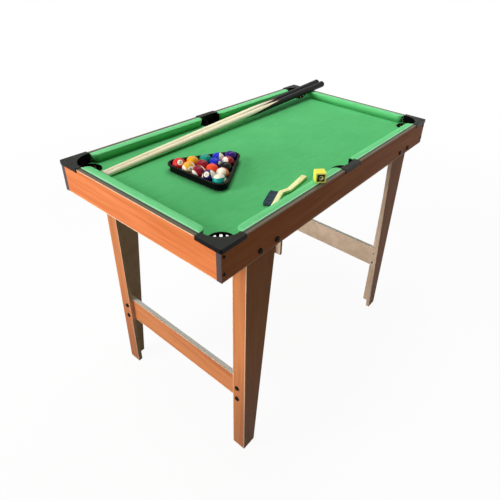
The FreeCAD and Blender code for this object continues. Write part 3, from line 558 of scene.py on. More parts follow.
# The wall's section: heights over the foot and how far it lies behind the nose there.
WALL_LEVELS = np.array([0, 0.6, 1.6, 3.4, 6, 9, 12, 15.5]) / 1000
WALL_INSETS = np.array([5.6, 5.0, 4.6, 4.0, 3.1, 2.1, 1.2, 0.4, 0]) / 1000
OVERLAP_SHARES = np.array([0.5, 0.85, 0.96, 1, 0.98, 0.88, 0.7])
OVERLAP_RISES = np.array([0, 0, 0.05, 0.2, 0.5, 0.85, 1.0])
TOP_SHARES = np.array([0.06, 0.13, 0.24, 0.38, 0.54, 0.72, 0.87, 1.0])[:, None]
PLEAT_DEPTH, PLEAT_RATE, PLEAT_HEIGHT, PLEAT_FADE = 0.00055, 1450, 0.012, 0.7
TUCK_DEPTH, TUCK_SHARE, TUCK_SPREAD, BACK_GAP = 0.0004, 0.30, 0.10, 0.0004
# Faint puckers in the drawn cloth: the depth, rate and start of two waves, and how they set in.
PUCKERS, PUCKER_RISE = ((0.00010, 103, 0), (0.00007, 271, 1)), 0.020
END_POINTS, ARC_POINTS, BEND_POINTS, LINE_STEP = 3, 17, 8, 0.005


def cushion_rings(length):
    """A closed plan outline, points x directions: from the back left corner up the left end, round an
    arc of CUSHION_END_RADIUS, along the nose, round the right arc and back along the rail. Returns
    the points, the inward directions, and 1 on the arcs fading to 0 away from them."""
    r, w = CUSHION_END_RADIUS, CUSHION_WIDTH
    end = np.linspace(0, w - r, END_POINTS)[:-1]
    nose = np.linspace(r, length - r, int(length / LINE_STEP))[1:-1]
    rail = np.linspace(length, 0, int(length / LINE_STEP))
    turn = np.linspace(0, math.pi / 2, ARC_POINTS)
    c, s, gather = np.cos(turn), np.sin(turn), np.sin(2 * turn)
    x, y, inward_x, inward_y, gather = np.concatenate([np.stack(np.broadcast_arrays(*part)) for part in (
        (0, end, 1, 0, 0),
        (r - r * c, w - r + r * s, c, -s, gather),
        (nose, w, 0, -1, 0),
        (length - r + r * s, w - r + r * c, -s, -c, gather),
        (length, end[::-1], -1, 0, 0),
        (rail, 0, 0, 1, 0),
    )], axis=1)
    inward_x[-len(rail)], inward_x[-1], inward_y[0] = -1, 1, 1
    return np.stack([x, y], axis=1), np.stack([inward_x, inward_y], axis=1), gather


def cushion_points(length):
    """Rings (u round the plan, v up the section). The wall leans out from the foot to the nose, a quarter
    round of TOP_FILLET leads to the top, and the top closes on a spine line while it rises by
    CROWN (1 - (1 - v)^2). Behind, the skin goes straight up and then out over the rail by OVERLAP.
    With d the distance round the plan, pleats go in by PLEAT_DEPTH sin^2(PLEAT_RATE d) low on the arcs,
    the sum of the PUCKERS' sines ripples the nose, and a shallow tuck runs along the rail."""
    plan, inward, gather = cushion_rings(length)
    low, high = CUSHION_LOW, CUSHION_HIGH
    bend = np.linspace(0, math.pi / 2, BEND_POINTS)
    step_z = np.append(WALL_LEVELS, high - low - TOP_FILLET + TOP_FILLET * np.sin(bend))
    step_in = np.append(WALL_INSETS, TOP_FILLET * (1 - np.cos(bend[1:])))
    travel = travelled(plan)
    pleat = PLEAT_DEPTH * gather * np.sin(travel * PLEAT_RATE) ** 2
    pucker = sum(deep * np.sin(travel * rate + start) for deep, rate, start in PUCKERS)
    lowness = np.clip(1 - step_z / PLEAT_HEIGHT, 0, 1) ** PLEAT_FADE
    topness = np.clip((step_z - PLEAT_HEIGHT) / PUCKER_RISE, 0, 1)
    inset = step_in[:, None] + pleat * lowness[:, None] + np.abs(pucker) * topness[:, None]
    behind = plan[:, 1] < ROUNDING
    over_rail = OVERLAP_LEVEL - low
    back_z = np.append(np.linspace(0, over_rail, len(WALL_INSETS)),
                       over_rail + OVERLAP_RISES * (high - low - over_rail))
    back_in = np.append([BACK_GAP] * len(WALL_LEVELS), [0, *-OVERLAP * OVERLAP_SHARES])
    inset = np.where(behind, back_in[:, None], inset)
    level = np.where(behind, back_z[:, None], step_z[:, None])
    rings = raised(plan[None] + inward[None] * inset[..., None], level + low)
    spine = np.stack([np.clip(plan[:, 0], SPINE_INSET, length - SPINE_INSET),
                      np.full(len(plan), SPINE_ACROSS)], axis=1)
    edge, foot = rings[-1, :, :2], rings[0, :, :2]
    top = edge[None] + (spine - edge)[None] * TOP_SHARES[..., None]
    tuck = TUCK_DEPTH * behind * np.exp(-((TOP_SHARES - TUCK_SHARE) / TUCK_SPREAD) ** 2)
    lift = high + CROWN * (1 - (1 - TOP_SHARES) ** 2) - tuck
    base = spine + (foot - spine) * np.array([0, 0.5])[:, None, None]
    return np.concatenate([raised(base, low), rings, raised(top, lift)])


def cushion(name, length, origin, along, towards):
    """A cushion whose local x, y run along and towards, two plan directions, from origin."""
    points = cushion_points(length)
    points = np.concatenate([points, points[:, :1]], axis=1)
    points = points @ np.array([(*along, 0), (*towards, 0), (0, 0, 1)], float) + np.array([*origin, 0])
    mesh = grid_skin(name, points)
    piece = place_piece(name + "_cloth", mesh, "table", "cushion_cloth", name, cushion_cloth)


cushion_cloth, shader, spot, chart = finish("cushion_cloth", **CLOTH_SHINE)
cloth = use(napped_cloth, chart, Light=CUSHION_LIGHT, Dark=CUSHION_DARK)
size = split(vector_calc("ABSOLUTE", spot))
# Painted highlight: the cloth is painted paler where it turns over the rail's inner edge.
rail_edge_highlight = rise(least(HALF_X - RAIL_THICKNESS - size[0], HALF_Y - RAIL_THICKNESS - size[1]), *EDGE_HIGHLIGHT_FADE)
tinted = blend(rail_edge_highlight, cloth["Color"], CUSHION_EDGE_HIGHLIGHT)
# Painted shade: the walls darken from near the top down to their foot.
tinted = blend(rise(split(spot)[2], *FOOT_SHADE_FADE), tinted, CUSHION_FOOT_SHADE)
surface(shader, cloth, depth=CLOTH_BUMP, Color=tinted)
LONG_CUSHION, SHORT_CUSHION = HALF_X - CORNER_MOUTH - SIDE_MOUTH / 2, TABLE_WIDTH - 2 * CORNER_MOUTH
for side, sx in (("left", -1), ("right", 1)):
    start = (sx * (HALF_X - RAIL_THICKNESS), -SHORT_CUSHION / 2)
    cushion(side + "_cushion", SHORT_CUSHION, start, (0, 1), (-sx, 0))
    for end, sy in (("front", -1), ("back", 1)):
        start = (sx * (HALF_X - CORNER_MOUTH), sy * (HALF_Y - RAIL_THICKNESS))
        cushion(end + "_" + side + "_cushion", LONG_CUSHION, start, (-sx, 0), (0, -sy))

# Pockets ------------------------------------------------------
# Moulded plastic: a pebbled cap plate with a skirt over the rail, and below it a smooth collar and a
# slotted basket, all in one. They are pressed down over the rails and into the bed's holes.

CAP_FACE = (0.7272, 0.7278)
pocket_plastic, shader, spot, _ = finish("pocket_plastic", specular=0.06)
on_cap = rise(split(spot)[2], *CAP_FACE)
cap, cup = [
    use(moulded_skin, spot, Plain=linear(*plain), Fleck=linear(*fleck), Flecks=flecks, Cell=cell)
    for plain, fleck, flecks, cell in (
        ((34, 34, 30), (74, 76, 70), 0.6, 700.0),
        ((5, 5, 6), (16, 17, 19), 0.25, 300.0),
    )
]
surface(shader, depth=0.00035, Color=blend(on_cap, cup["Color"], cap["Color"]),
        Roughness=mix(on_cap, cup["Roughness"] * 0.55, cap["Roughness"]),
        Height=mix(on_cap, 0.5, cap["Height"]))
CORNERS = [end + "_" + side for end in ("front", "back") for side in ("left", "right")]
dress(pocket_plastic, "side_pocket_front", "side_pocket_back", *["corner_pocket_" + c for c in CORNERS])

# Legs ---------------------------------------------------------
# Each leg is two foil-faced fibreboards mitred into an L: a side board that tapers to the foot and a
# narrow end board. They are bolted inside the long rails, and a board joins each end's two legs.

# The legs' foil takes painted shade that darkens it towards the floor.
LEG_FOIL, LEG_FOOT_SHADE = (linear(216, 136, 84), linear(180, 104, 62)), 0.35
LEG_OUTER_X, LEG_OUTER_Y, LEG_END_EDGE = 0.378, 0.247, 0.208
STRETCHER_OUTER, STRETCHER_LOW, STRETCHER_HIGH, PAINTED_LIGHT_SKIN = 0.366, 0.180, 0.256, 0.0002
dress(board_finish("leg_side_foil", ALONG_Z, (1, LEG_OUTER_Y),
                   [(0, LEG_OUTER_X), (2, 0)], LEG_FOIL, LEG_FOOT_SHADE),
      *["leg_%s_side" % c for c in CORNERS])
dress(board_finish("leg_end_foil", ALONG_Z, (0, LEG_OUTER_X),
                   [(1, LEG_OUTER_Y), (1, LEG_END_EDGE), (2, 0)], LEG_FOIL, LEG_FOOT_SHADE),
      *["leg_%s_end" % c for c in CORNERS])
# The stretchers' top faces are painted near white: painted light.
dress(board_finish("stretcher_foil", ALONG_Y, (0, STRETCHER_OUTER),
                   [(2, STRETCHER_LOW), (2, STRETCHER_HIGH)], LEG_FOIL,
                   painted_light_above=STRETCHER_HIGH - PAINTED_LIGHT_SKIN), "left_stretcher", "right_stretcher")

# Bolts, nuts and screws ---------------------------------------
# Black coated steel bolts with low round heads and zinc plated nuts hold the legs and stretchers;
# small black screws hold the rails' corners.

bolt_coat, shader, spot, _ = finish("black_coated_steel", specular=0.06)
skin = use(moulded_skin, spot, Plain=linear(6, 5, 5), Fleck=linear(26, 23, 22), Flecks=0.5, Cell=2200.0)
surface(shader, skin, depth=0.00005)
dress(bolt_coat, "frame_bolts", "apron_screws")

zinc, shader, spot, _ = finish("zinc_plate", Metallic=1.0)
skin = use(moulded_skin, spot, Plain=linear(196, 198, 200), Fleck=linear(140, 142, 146),
           Flecks=0.7, Cell=1400.0)
surface(shader, skin, depth=0.00004)
dress(zinc, "frame_nuts")

# Cues ---------------------------------------------------------
# Two turned and lacquered wooden cues, 936 mm long. Black wood is spliced into the pale shaft in
# two long points and makes the whole butt. A white ferrule and a pale leather pad are on the tip.

CUE_LENGTH, CUE_TIP_RADIUS, CUE_BUTT_RADIUS, CUE_SIDES = 0.936, 0.00575, 0.0110, 48
PAD_DOME, PAD_END, FERRULE_END, SHAFT_END, BUTT_ROUND = 0.0014, 0.004, 0.016, 0.681, 0.006
JOINT_NICK = 0.00012
CUE_TIP_X, CUE_TIP_Z = -0.418, 0.71005
SPLICE_START, SPLICE_END, SPLICE_POINTS = 0.482, 0.668, 2
SPLICE_SOFT, VENEER, VENEER_BAND = 0.0015, linear(150, 104, 84), (-0.014, -0.011)
SHAFT_STEPS, BUTT_STEPS, ROUND_POINTS = 40, 16, 7


def cue_radius(distance):
    """A straight taper from the tip to the butt."""
    return CUE_TIP_RADIUS + (CUE_BUTT_RADIUS - CUE_TIP_RADIUS) * distance / CUE_LENGTH


def turned(start, end, steps=2):
    """The taper between two distances, nicked in at both joints and closed on the axis."""
    distance = np.linspace(start, end, steps)[1:-1]
    first, last, nick = cue_radius(start), cue_radius(end), JOINT_NICK
    return np.concatenate([
        [(start, 0), (start, first - nick), (start + nick, first)],
        np.stack([distance, cue_radius(distance)], axis=1),
        [(end - nick, last), (end, last - nick), (end, 0)],
    ])


def cue_piece(name, node, profile, tip, heading, slot, *materials):
    """A turned piece of a cue: a profile of (distance d along the axis, radius r) carried round it,
    P = tip + axis d + r (side cos t + top sin t). Its lengths are the share of a turn and d."""
    axis = unit(np.array(heading))
    side = unit(np.cross((0, 0, 1), axis))
    turn = np.linspace(0, 2 * math.pi, CUE_SIDES + 1)
    round_it = side * np.cos(turn)[:, None] + np.cross(axis, side) * np.sin(turn)[:, None]
    points = np.array(tip) + axis * profile[:, :1, None] + profile[:, 1:, None] * round_it
    lengths = np.stack(np.meshgrid(turn / (2 * math.pi), profile[:, 0]), axis=-1)
    place_piece(name, grid_skin(name, points, lengths, sharp=40), name[:5], slot, node, *materials)


def cue_finish(name, quarter):
    """Pale and black wood that meet in long points: black where the distance from the tip is over
    SPLICE_START + (SPLICE_END - SPLICE_START) |2 fraction(2 turn + quarter) - 1|."""
    material, shader, spot, chart = finish(name, specular=0.12, Coat_Weight=0.03, Coat_Roughness=0.12)
    turn, distance, _ = split(chart)
    zigzag = abs(calc("FRACT", turn * SPLICE_POINTS + quarter) * 2 - 1)
    past = distance - (zigzag * (SPLICE_END - SPLICE_START) + SPLICE_START)
    black = rise(past, 0, SPLICE_SOFT)
    veneer = rise(past, *VENEER_BAND) * (1 - black)
    grain = use(wood_grain, spot, Light=linear(255, 250, 222), Dark=linear(246, 230, 190),
                Pores=0.15, Fineness=2.6)
    dark = use(wood_grain, spot, Light=linear(5, 5, 5), Dark=linear(16, 15, 15),
               Pores=0.3, Fineness=2.0)
    pale = blend(veneer, grain["Color"], VENEER)
    surface(shader, grain, depth=0.00003, Color=blend(black, pale, dark["Color"]))
    return material


tip_finish, shader, spot, chart = finish("ferrule_and_pad", specular=0.4)
speck = noise(spot, 1400)
leather = blend(speck, linear(228, 210, 174), linear(188, 166, 130))
ivory = blend(speck, linear(252, 246, 222), linear(238, 228, 198))
past_pad = split(chart)[1] > PAD_END
surface(shader, depth=0.00006, Color=blend(past_pad, leather, ivory),
        Roughness=mix(past_pad, 0.9, 0.3), Height=speck)

bend = np.linspace(0, math.pi / 2, ROUND_POINTS)
dome = np.stack([PAD_DOME * (1 - np.sin(bend[::-1])), cue_radius(PAD_DOME) * np.cos(bend[::-1])], axis=1)
butt_round = np.stack([CUE_LENGTH - BUTT_ROUND + BUTT_ROUND * np.sin(bend),
                       cue_radius(CUE_LENGTH) - BUTT_ROUND + BUTT_ROUND * np.cos(bend)], axis=1)
tip_profile = np.concatenate([dome, turned(PAD_DOME, PAD_END)[2:], turned(PAD_END, FERRULE_END)])
butt_profile = np.concatenate([
    turned(SHAFT_END, CUE_LENGTH - BUTT_ROUND, BUTT_STEPS)[:-2], butt_round, [(CUE_LENGTH, 0)]])
for name, y_tip, y_butt, rail_z, rail_x, quarter in (
    ("cue_1", 0.1505, 0.1705, 0.7263, 0.4270, 0.36),
    ("cue_2", 0.1635, 0.1932, 0.7283, 0.4475, 0.30),
):
    run = rail_x - CUE_TIP_X
    climb = (rail_z + cue_radius(run) - CUE_TIP_Z) / run
    lie = (CUE_TIP_X, y_tip, CUE_TIP_Z), (1, (y_butt - y_tip) / CUE_LENGTH, climb)
    wood = cue_finish(name + "_wood", quarter)
    shaft_profile = turned(FERRULE_END, SHAFT_END, SHAFT_STEPS)
    cue_piece(name + "_ferrule", name + "_tip", tip_profile, *lie, "cue_ferrule", tip_finish)
    cue_piece(name + "_pale_shaft", name + "_shaft", shaft_profile, *lie, "cue_wood", wood)
    cue_piece(name + "_black_butt", name + "_butt", butt_profile, *lie, "cue_black", wood)

# Rack ---------------------------------------------------------
# A triangle moulded in glossy black plastic, laid round the balls: a thin wall with a small foot and
# a broad rim that stands out round it. A faint brown painted highlight lies along the rim's top.

RACK_CENTRE, RACK_TURN, RACK_SEAT, RACK_HEIGHT = (-0.2350, -0.0004), math.radians(2.5), 0.7043, 0.0187
RACK_REACH, RACK_INSIDE, RACK_WALL, RACK_OUTSIDE = 0.0771, 0.01685, 0.01985, 0.02385
RIM_HEIGHT, RIM_ROUND, RIM_HOLLOW, RIM_EDGE = 0.0040, 0.0012, 0.0016, 0.0006
FOOT_STEP, FOOT_EDGE, FOOT_HEIGHT, FOOT_TOP = 0.0004, 0.0003, 0.0010, 0.0016
# The inner top edge, in from the wall's inner line and down from the top; then where its lean ends.
INNER_EDGE, LEAN_END = np.array([(0.0022, 0), (0.0014, -0.0004), (0.0010, -0.0012)]), (0.0004, 0.0030)
RACK_CORNER_POINTS = 21


def turned_plan(plan, turn, centre):
    """Plan points turned about the origin and then moved to a centre."""
    return plan @ np.array([[math.cos(turn), math.sin(turn)], [-math.sin(turn), math.cos(turn)]]) + centre


def rack_mesh():
    """A closed section (r, z) carried round the triangle: P = core(s) + r out(s). On a corner the core
    stands still while out turns by 120 degrees; on a side the core moves and out stands still."""
    corner = np.radians([0, 120, 240])[:, None]
    heading = corner + np.radians(np.linspace(-60, 60, RACK_CORNER_POINTS))
    out = np.stack([np.cos(heading), np.sin(heading)], axis=-1).reshape(-1, 2)
    corner = corner + 0 * heading
    core = RACK_REACH * np.stack([np.cos(corner), np.sin(corner)], axis=-1).reshape(-1, 2)
    out, core = np.append(out, out[:1], axis=0), np.append(core, core[:1], axis=0)
    bend = np.linspace(0, math.pi / 2, ROUND_POINTS)
    over, up = 1 - np.cos(bend), 1 - np.sin(bend)
    wall, rim, high, under = RACK_WALL - FOOT_STEP, RACK_OUTSIDE, RACK_HEIGHT, RACK_HEIGHT - RIM_HEIGHT
    section = np.concatenate([
        [(RACK_INSIDE, 0), (RACK_WALL - FOOT_EDGE, 0), (RACK_WALL, FOOT_EDGE), (RACK_WALL, FOOT_HEIGHT),
         (wall, FOOT_TOP), (wall, under - RIM_HOLLOW)],
        np.stack([wall + RIM_HOLLOW * over, under - RIM_HOLLOW * up], axis=1),
        [(rim - RIM_EDGE, under), (rim, under + RIM_EDGE)],
        np.stack([rim - RIM_ROUND * over, high - RIM_ROUND * up], axis=1),
        INNER_EDGE + (RACK_INSIDE, high),
        [(RACK_INSIDE + LEAN_END[0], LEAN_END[1]), (RACK_INSIDE, 0)],
    ])
    plan = turned_plan(core[:, None] + out[:, None] * section[:, :1], RACK_TURN, RACK_CENTRE)
    return grid_skin("rack_moulding", raised(plan, section[:, 1] + RACK_SEAT), sharp=50)


rack_plastic, shader, spot, _ = finish("rack_plastic", specular=0.06)
skin = use(moulded_skin, spot, Plain=linear(4, 5, 5), Fleck=linear(14, 16, 16), Flecks=0.3, Cell=260.0)
# A faint brown painted highlight along the rim's top edge.
wear_and_highlight = use(edge_wear_and_highlight, spot, Distance=RACK_SEAT + RACK_HEIGHT - split(spot)[2], Width=0.0006)["Mask"]
surface(shader, skin, depth=0.00004, Color=blend(wear_and_highlight * 0.03, skin["Color"], linear(150, 118, 96)),
        Roughness=skin["Roughness"] * 0.9)
place_piece("rack_moulding", rack_mesh(), "rack", "rack_plastic", "rack", rack_plastic)

# Balls --------------------------------------------------------
# Fifteen polished resin balls of 32 mm, standing in the rack in rows of one to five. One to seven are
# plain, eight is black and nine to fifteen have a band. Each has a plain number on two white spots.

BALL_ROWS = ((4,), (10, 11), (6, 2, 8), (1, 7, 5, 13), (3, 9, 15, 12, 14))
BALL_CENTRE_Z, BALL_RADIUS, BALL_PITCH, BALLS_SHIFT = 0.7202, 0.0159, 0.0322, (-0.0016, -0.0028)
BALL_BELTS, BALL_SIDES = 40, 72
SPOT_COSINE, SPOT_SOFT, BAND_COSINE, BAND_SOFT = math.cos(math.radians(25)), 0.003, 0.60, 0.012
ONE_DIGIT_SIZE, TWO_DIGIT_SIZE, NUMBER_LIFT, NUMBER_WEIGHT = 0.0090, 0.00756, 0.00004, 0.00012
# Each ball's slot and resin, and how it lies: the heading and height of its number spot and the
# number's lean, in degrees.
BALLS = {
    1: ("yellow", (250, 172, 24), (253, -38, -23)),
    2: ("blue", (6, 34, 190), (283, 21, -22)),
    3: ("red", (216, 42, 40), (244, 41, -9)),
    4: ("purple", (50, 8, 120), (208, -44, 18)),
    5: ("orange", (250, 76, 40), (217, -42, 8)),
    6: ("green", (8, 150, 132), (241, -41, -17)),
    7: ("maroon", (150, 8, 30), (211, -39, 13)),
    8: ("black", (8, 8, 8), (232, -43, -10)),
    9: ("yellow_stripe", (246, 176, 44), (247, 18, 105)),
    10: ("blue_stripe", (6, 40, 200), (229, -42, -60)),
    11: ("red_stripe", (166, 14, 24), (235, -44, 58)),
    12: ("violet_stripe", (26, 12, 100), (195, 43, -58)),
    13: ("orange_stripe", (244, 130, 84), (258, -24, 39)),
    14: ("green_stripe", (10, 160, 150), (290, 9, -6)),
    15: ("maroon_stripe", (142, 8, 38), (270, -26, 112)),
}

# A ball's paint: 0 on the two spots and, where it is banded, outside the band.
ball_pattern, results, (place, spot_axis, pole, banded) = new_group(
    "ball pattern", ("Paint", "Roughness"), Spot=(0, 0, 1), Lean=(1, 0, 0), Banded=0.0)
out = vector_calc("NORMALIZE", place)
to_spot, to_pole = [abs(vector_calc("DOT_PRODUCT", out, axis)) for axis in (spot_axis, pole)]
in_spot = rise(to_spot, SPOT_COSINE - SPOT_SOFT, SPOT_COSINE + SPOT_SOFT)
off_band = rise(to_pole, BAND_COSINE - BAND_SOFT, BAND_COSINE + BAND_SOFT)
feed(results, {
    "Paint": 1 - calc("MAXIMUM", in_spot, off_band * banded),
    "Roughness": noise(place, 90, detail=4.0, roughness=0.6, distortion=0.6) * 0.12 + 0.05,
})

number_ink, shader, spot, _ = finish("number_ink")
speck = noise(spot, 900)
feed(shader, {"Base Color": blend(speck, linear(18, 17, 18), linear(34, 32, 34)),
              "Roughness": speck * 0.1 + 0.12})


def lie_axes(number):
    """A ball's own axes: right and up of its number, and out through the middle of its spot."""
    heading, height, lean = np.radians(BALLS[number][2])
    spot = direction(heading, height)
    right = np.array([-math.sin(heading), math.cos(heading), 0])
    return np.stack([*rolled(right, np.cross(spot, right), lean), spot])


def number_points(number, axes, centre):
    """The number's flat mesh, cut fine, and wrapped on the ball: each flat point (a, b) goes to
    centre + (R + lift) times the direction of out R + right a + up b. It is there on both spots."""
    text = bpy.data.curves.new("number", "FONT")
    text.body, text.size = str(number), ONE_DIGIT_SIZE if number < 10 else TWO_DIGIT_SIZE
    text.align_x, text.align_y, text.offset = "CENTER", "CENTER", NUMBER_WEIGHT
    written = bpy.data.objects.new("number", text)
    flat = bpy.data.meshes.new_from_object(written)
    work = bmesh.new()
    work.from_mesh(flat)
    bmesh.ops.triangulate(work, faces=work.faces)
    bmesh.ops.subdivide_edges(work, edges=work.edges, cuts=2, use_grid_fill=True)
    bmesh.ops.triangulate(work, faces=work.faces)
    work.to_mesh(flat)
    work.free()
    place = np.empty(len(flat.vertices) * 3)
    flat.vertices.foreach_get("co", place)
    place = place.reshape(-1, 3)
    place = place - (place.min(axis=0) + place.max(axis=0)) / 2
    place[:, 2] = BALL_RADIUS
    corners = np.empty(len(flat.loops), int)
    flat.loops.foreach_get("vertex_index", corners)
    corners = corners.reshape(-1, 3)
    bpy.data.objects.remove(written)
    bpy.data.curves.remove(text)
    bpy.data.meshes.remove(flat)
    wrapped = []
    for way in (1, -1):
        out = unit(place @ (axes * np.array([way, 1, way])[:, None]))
        wrapped.append(centre + out * (BALL_RADIUS + NUMBER_LIFT))
    return np.concatenate(wrapped), np.concatenate([corners, corners + len(place)])


def ball_mesh(name, number, axes, centre):
    """A sphere of belts (u) and sides (v), P = centre + R (sin u cos v, sin u sin v, cos u), turned to
    the ball's lie, and its number in ink a hair above it."""
    u, v = np.linspace(0, math.pi, BALL_BELTS + 1), np.linspace(0, 2 * math.pi, BALL_SIDES + 1)
    u, v = np.meshgrid(u, v, indexing="ij")
    ball = np.stack([np.sin(u) * np.cos(v), np.sin(u) * np.sin(v), np.cos(u)], axis=-1)
    mesh = grid_skin(name, centre + BALL_RADIUS * (ball @ axes), np.stack([v, u], axis=-1) * BALL_RADIUS)
    digits, corners = number_points(number, axes, centre)
    ink = bpy.data.meshes.new("ink")
    ink.from_pydata(digits.tolist(), [], corners.tolist())
    joined = bmesh.new()
    joined.from_mesh(mesh)
    ball_faces = len(joined.faces)
    joined.from_mesh(ink)
    joined.to_mesh(mesh)
    joined.free()
    bpy.data.meshes.remove(ink)
    mesh.polygons.foreach_set("material_index", (np.arange(len(mesh.polygons)) >= ball_faces).astype(int))
    mesh.polygons.foreach_set("use_smooth", np.ones(len(mesh.polygons), bool))
    return mesh


for row, numbers in enumerate(BALL_ROWS):
    for index, number in enumerate(numbers):
        name = "ball_%02d" % number
        slot, colour, _ = BALLS[number]
        along = BALLS_SHIFT[0] + (4 / math.sqrt(3) - row * math.sqrt(3) / 2) * BALL_PITCH
        aside = BALLS_SHIFT[1] + (row / 2 - index) * BALL_PITCH
        centre = np.append(turned_plan(np.array([along, aside]), RACK_TURN, RACK_CENTRE), BALL_CENTRE_Z)
        axes = lie_axes(number)
        resin, shader, spot, _ = finish(name + "_resin", specular=0.14)
        marks = use(ball_pattern, mapped(spot, Location=-centre), Spot=axes[2], Lean=axes[1],
                    Banded=float(number > 8))
        feed(shader, {"Base Color": blend(marks["Paint"], linear(250, 240, 222), linear(*colour)),
                      "Roughness": marks["Roughness"]})
        mesh = ball_mesh(name + "_resin", number, axes, centre)
        place_piece(name + "_resin", mesh, name, "ball_" + slot, name, resin, number_ink)

# Brush --------------------------------------------------------
# A cloth brush lying on its side: a pale lacquered wooden head that runs into a cranked handle, with
# blue-grey bristles set in rows along the head.

BRUSH_CENTRE, BRUSH_TURN, BRUSH_SEAT = (-0.2309, -0.2053), math.radians(23), 0.7043
BRUSH_ROUTE = np.array([(-0.037, 0), (0.031, 0), (0.0505, -0.0147), (0.1287, -0.0335)])
BRUSH_FLARE = [0, 0.06, 0.10], [0.96, 1.0, 1.08, 1.30]
BRUSH_WIDTH, BRUSH_THICKNESS, BRUSH_SHRINK = 0.012, 0.008, 0.99
HANDLE_ROUND, HEAD_SLANT, HEAD_EDGE, BEND_REACH = 0.005, 0.017, 0.006, 0.0045
ROUTE_POINTS, SECTION_POINTS, SMOOTH_POINTS = 181, 32, 9
BRISTLE_ROOT, BRISTLE_TIP, BRISTLE_REACH, BRISTLE_RADIUS = 0.0055, 0.0252, 0.0288, 0.00042
BRISTLE_ROWS, BRISTLES_IN_ROW, ROW_INSET, TIP_INSET, TIP_SPREAD = 8, 170, 0.0009, 0.0006, 1.04
# How far chance moves a bristle's root along and across the head, and its tip's sway, row and reach.
SHAKES, SEED = (0.00018, 0.00012, 0.0004, 0.0002, 0.0005), 7
SWAY, SWAY_RATES, END_DROP, CHART_LENGTH = 0.0006, (1900, 700), 0.0008, 0.016


def on_table(plan, height):
    """Local plan points turned and moved to the brush's place, at heights above its seat."""
    return raised(turned_plan(plan, BRUSH_TURN, BRUSH_CENTRE), height + BRUSH_SEAT)


def brush_wood():
    """A squarish section carried along the route, P = route(s) + normal w |c|^0.5 sign(c) and height
    t |k|^0.5 sign(k), with c and k the cosine and sine of the section's angle. The route's bends are
    smoothed over 9 mm. At the handle's end w and t go to nothing as a circle does; at the head's w does
    on one side, as (s / HEAD_SLANT)^0.8, and t as the root of s / HEAD_EDGE."""
    travel = travelled(BRUSH_ROUTE)
    s = np.linspace(0, travel[-1], ROUTE_POINTS)
    left = travel[-1] - s
    reach = np.minimum(BEND_REACH, np.minimum(s, left))[:, None]
    inside = np.clip(s[:, None] + np.linspace(-1, 1, SMOOTH_POINTS) * reach, 0, travel[-1])
    route = np.stack([np.interp(inside, travel, BRUSH_ROUTE[:, k]).mean(axis=1) for k in (0, 1)], axis=1)
    forward = unit(np.gradient(route, axis=0))
    normal = np.stack([-forward[:, 1], forward[:, 0]], axis=1)
    end = np.sqrt(np.clip(1 - np.clip(1 - left / HANDLE_ROUND, 0, 1) ** 2, 0, 1))
    point = np.clip(s / HEAD_SLANT, 0, 1) ** 0.8
    half_width = BRUSH_WIDTH / 2 * end * np.interp(s, [*BRUSH_FLARE[0], travel[-1]], BRUSH_FLARE[1])
    outer = half_width * (2 * point - 1)
    half_thick = BRUSH_SHRINK * BRUSH_THICKNESS / 2 * np.minimum(end, np.clip(s / HEAD_EDGE, 0, 1) ** 0.5)
    angle = np.linspace(0, 2 * math.pi, SECTION_POINTS + 1)
    c, k = [np.sign(wave) * np.abs(wave) ** 0.5 for wave in (np.cos(angle), np.sin(angle))]
    aside = (half_width - outer)[:, None] / 2 + (half_width + outer)[:, None] / 2 * c
    plan = route[:, None] + normal[:, None] * aside[..., None]
    return grid_skin("brush_wood", on_table(plan, BRUSH_THICKNESS / 2 + half_thick[:, None] * k))


def brush_hair():
    """Bristles as thin four-sided spikes on a grid of rows over the head, shaken a little from seeded
    random numbers: P = root + (tip - root) t + radius (1 - 0.5 t) towards the four sides."""
    draw = np.random.default_rng(SEED)
    count, middle = BRISTLE_ROWS * BRISTLES_IN_ROW, BRUSH_THICKNESS / 2
    shakes = [draw.normal(0, spread, count) for spread in SHAKES]
    along, row = np.meshgrid(np.linspace(-BRISTLE_REACH, BRISTLE_REACH, BRISTLES_IN_ROW),
                             np.linspace(ROW_INSET, BRUSH_THICKNESS - ROW_INSET, BRISTLE_ROWS))
    along = np.clip(along.ravel() + shakes[0], -BRISTLE_REACH, BRISTLE_REACH)
    row = row.ravel() + shakes[1]
    sway = SWAY * np.sin(along * SWAY_RATES[0] + row * SWAY_RATES[1]) + shakes[2]
    tip_row = middle + (row - middle) * TIP_SPREAD + shakes[3]
    tip_row = np.clip(tip_row, TIP_INSET, BRUSH_THICKNESS - TIP_INSET)
    reach = BRISTLE_TIP - np.abs(shakes[4]) - END_DROP * (along / BRISTLE_REACH) ** 4
    along, row, sway, tip_row, reach = [part[:, None, None] for part in (along, row, sway, tip_row, reach)]
    t = np.array([0, 0.5, 1.0])[None, :, None]
    around = np.array([0, 1, 2, 3]) * math.pi / 2
    thick = BRISTLE_RADIUS * (1 - 0.5 * t)
    x = along + sway * t ** 1.5 + thick * np.cos(around)
    y = BRISTLE_ROOT + (reach - BRISTLE_ROOT) * t + 0 * around
    z = row + (tip_row - row) * t + thick * np.sin(around)
    points = on_table(np.stack([x, y], axis=-1), z)
    index = np.arange(count * 12).reshape(count, 3, 4)
    onward = np.roll(index, -1, axis=2)
    sides = np.stack([index[:, :-1], onward[:, :-1], onward[:, 1:], index[:, 1:]], axis=-1)
    faces = np.concatenate([sides.reshape(-1, 4), index[:, 0, ::-1], index[:, 2]])
    lengths = np.stack([along + 0 * x, CHART_LENGTH * t + 0 * x], axis=-1)
    return skin_mesh("brush_hair", points.reshape(-1, 3), faces, lengths.reshape(-1, 2), sharp=50)


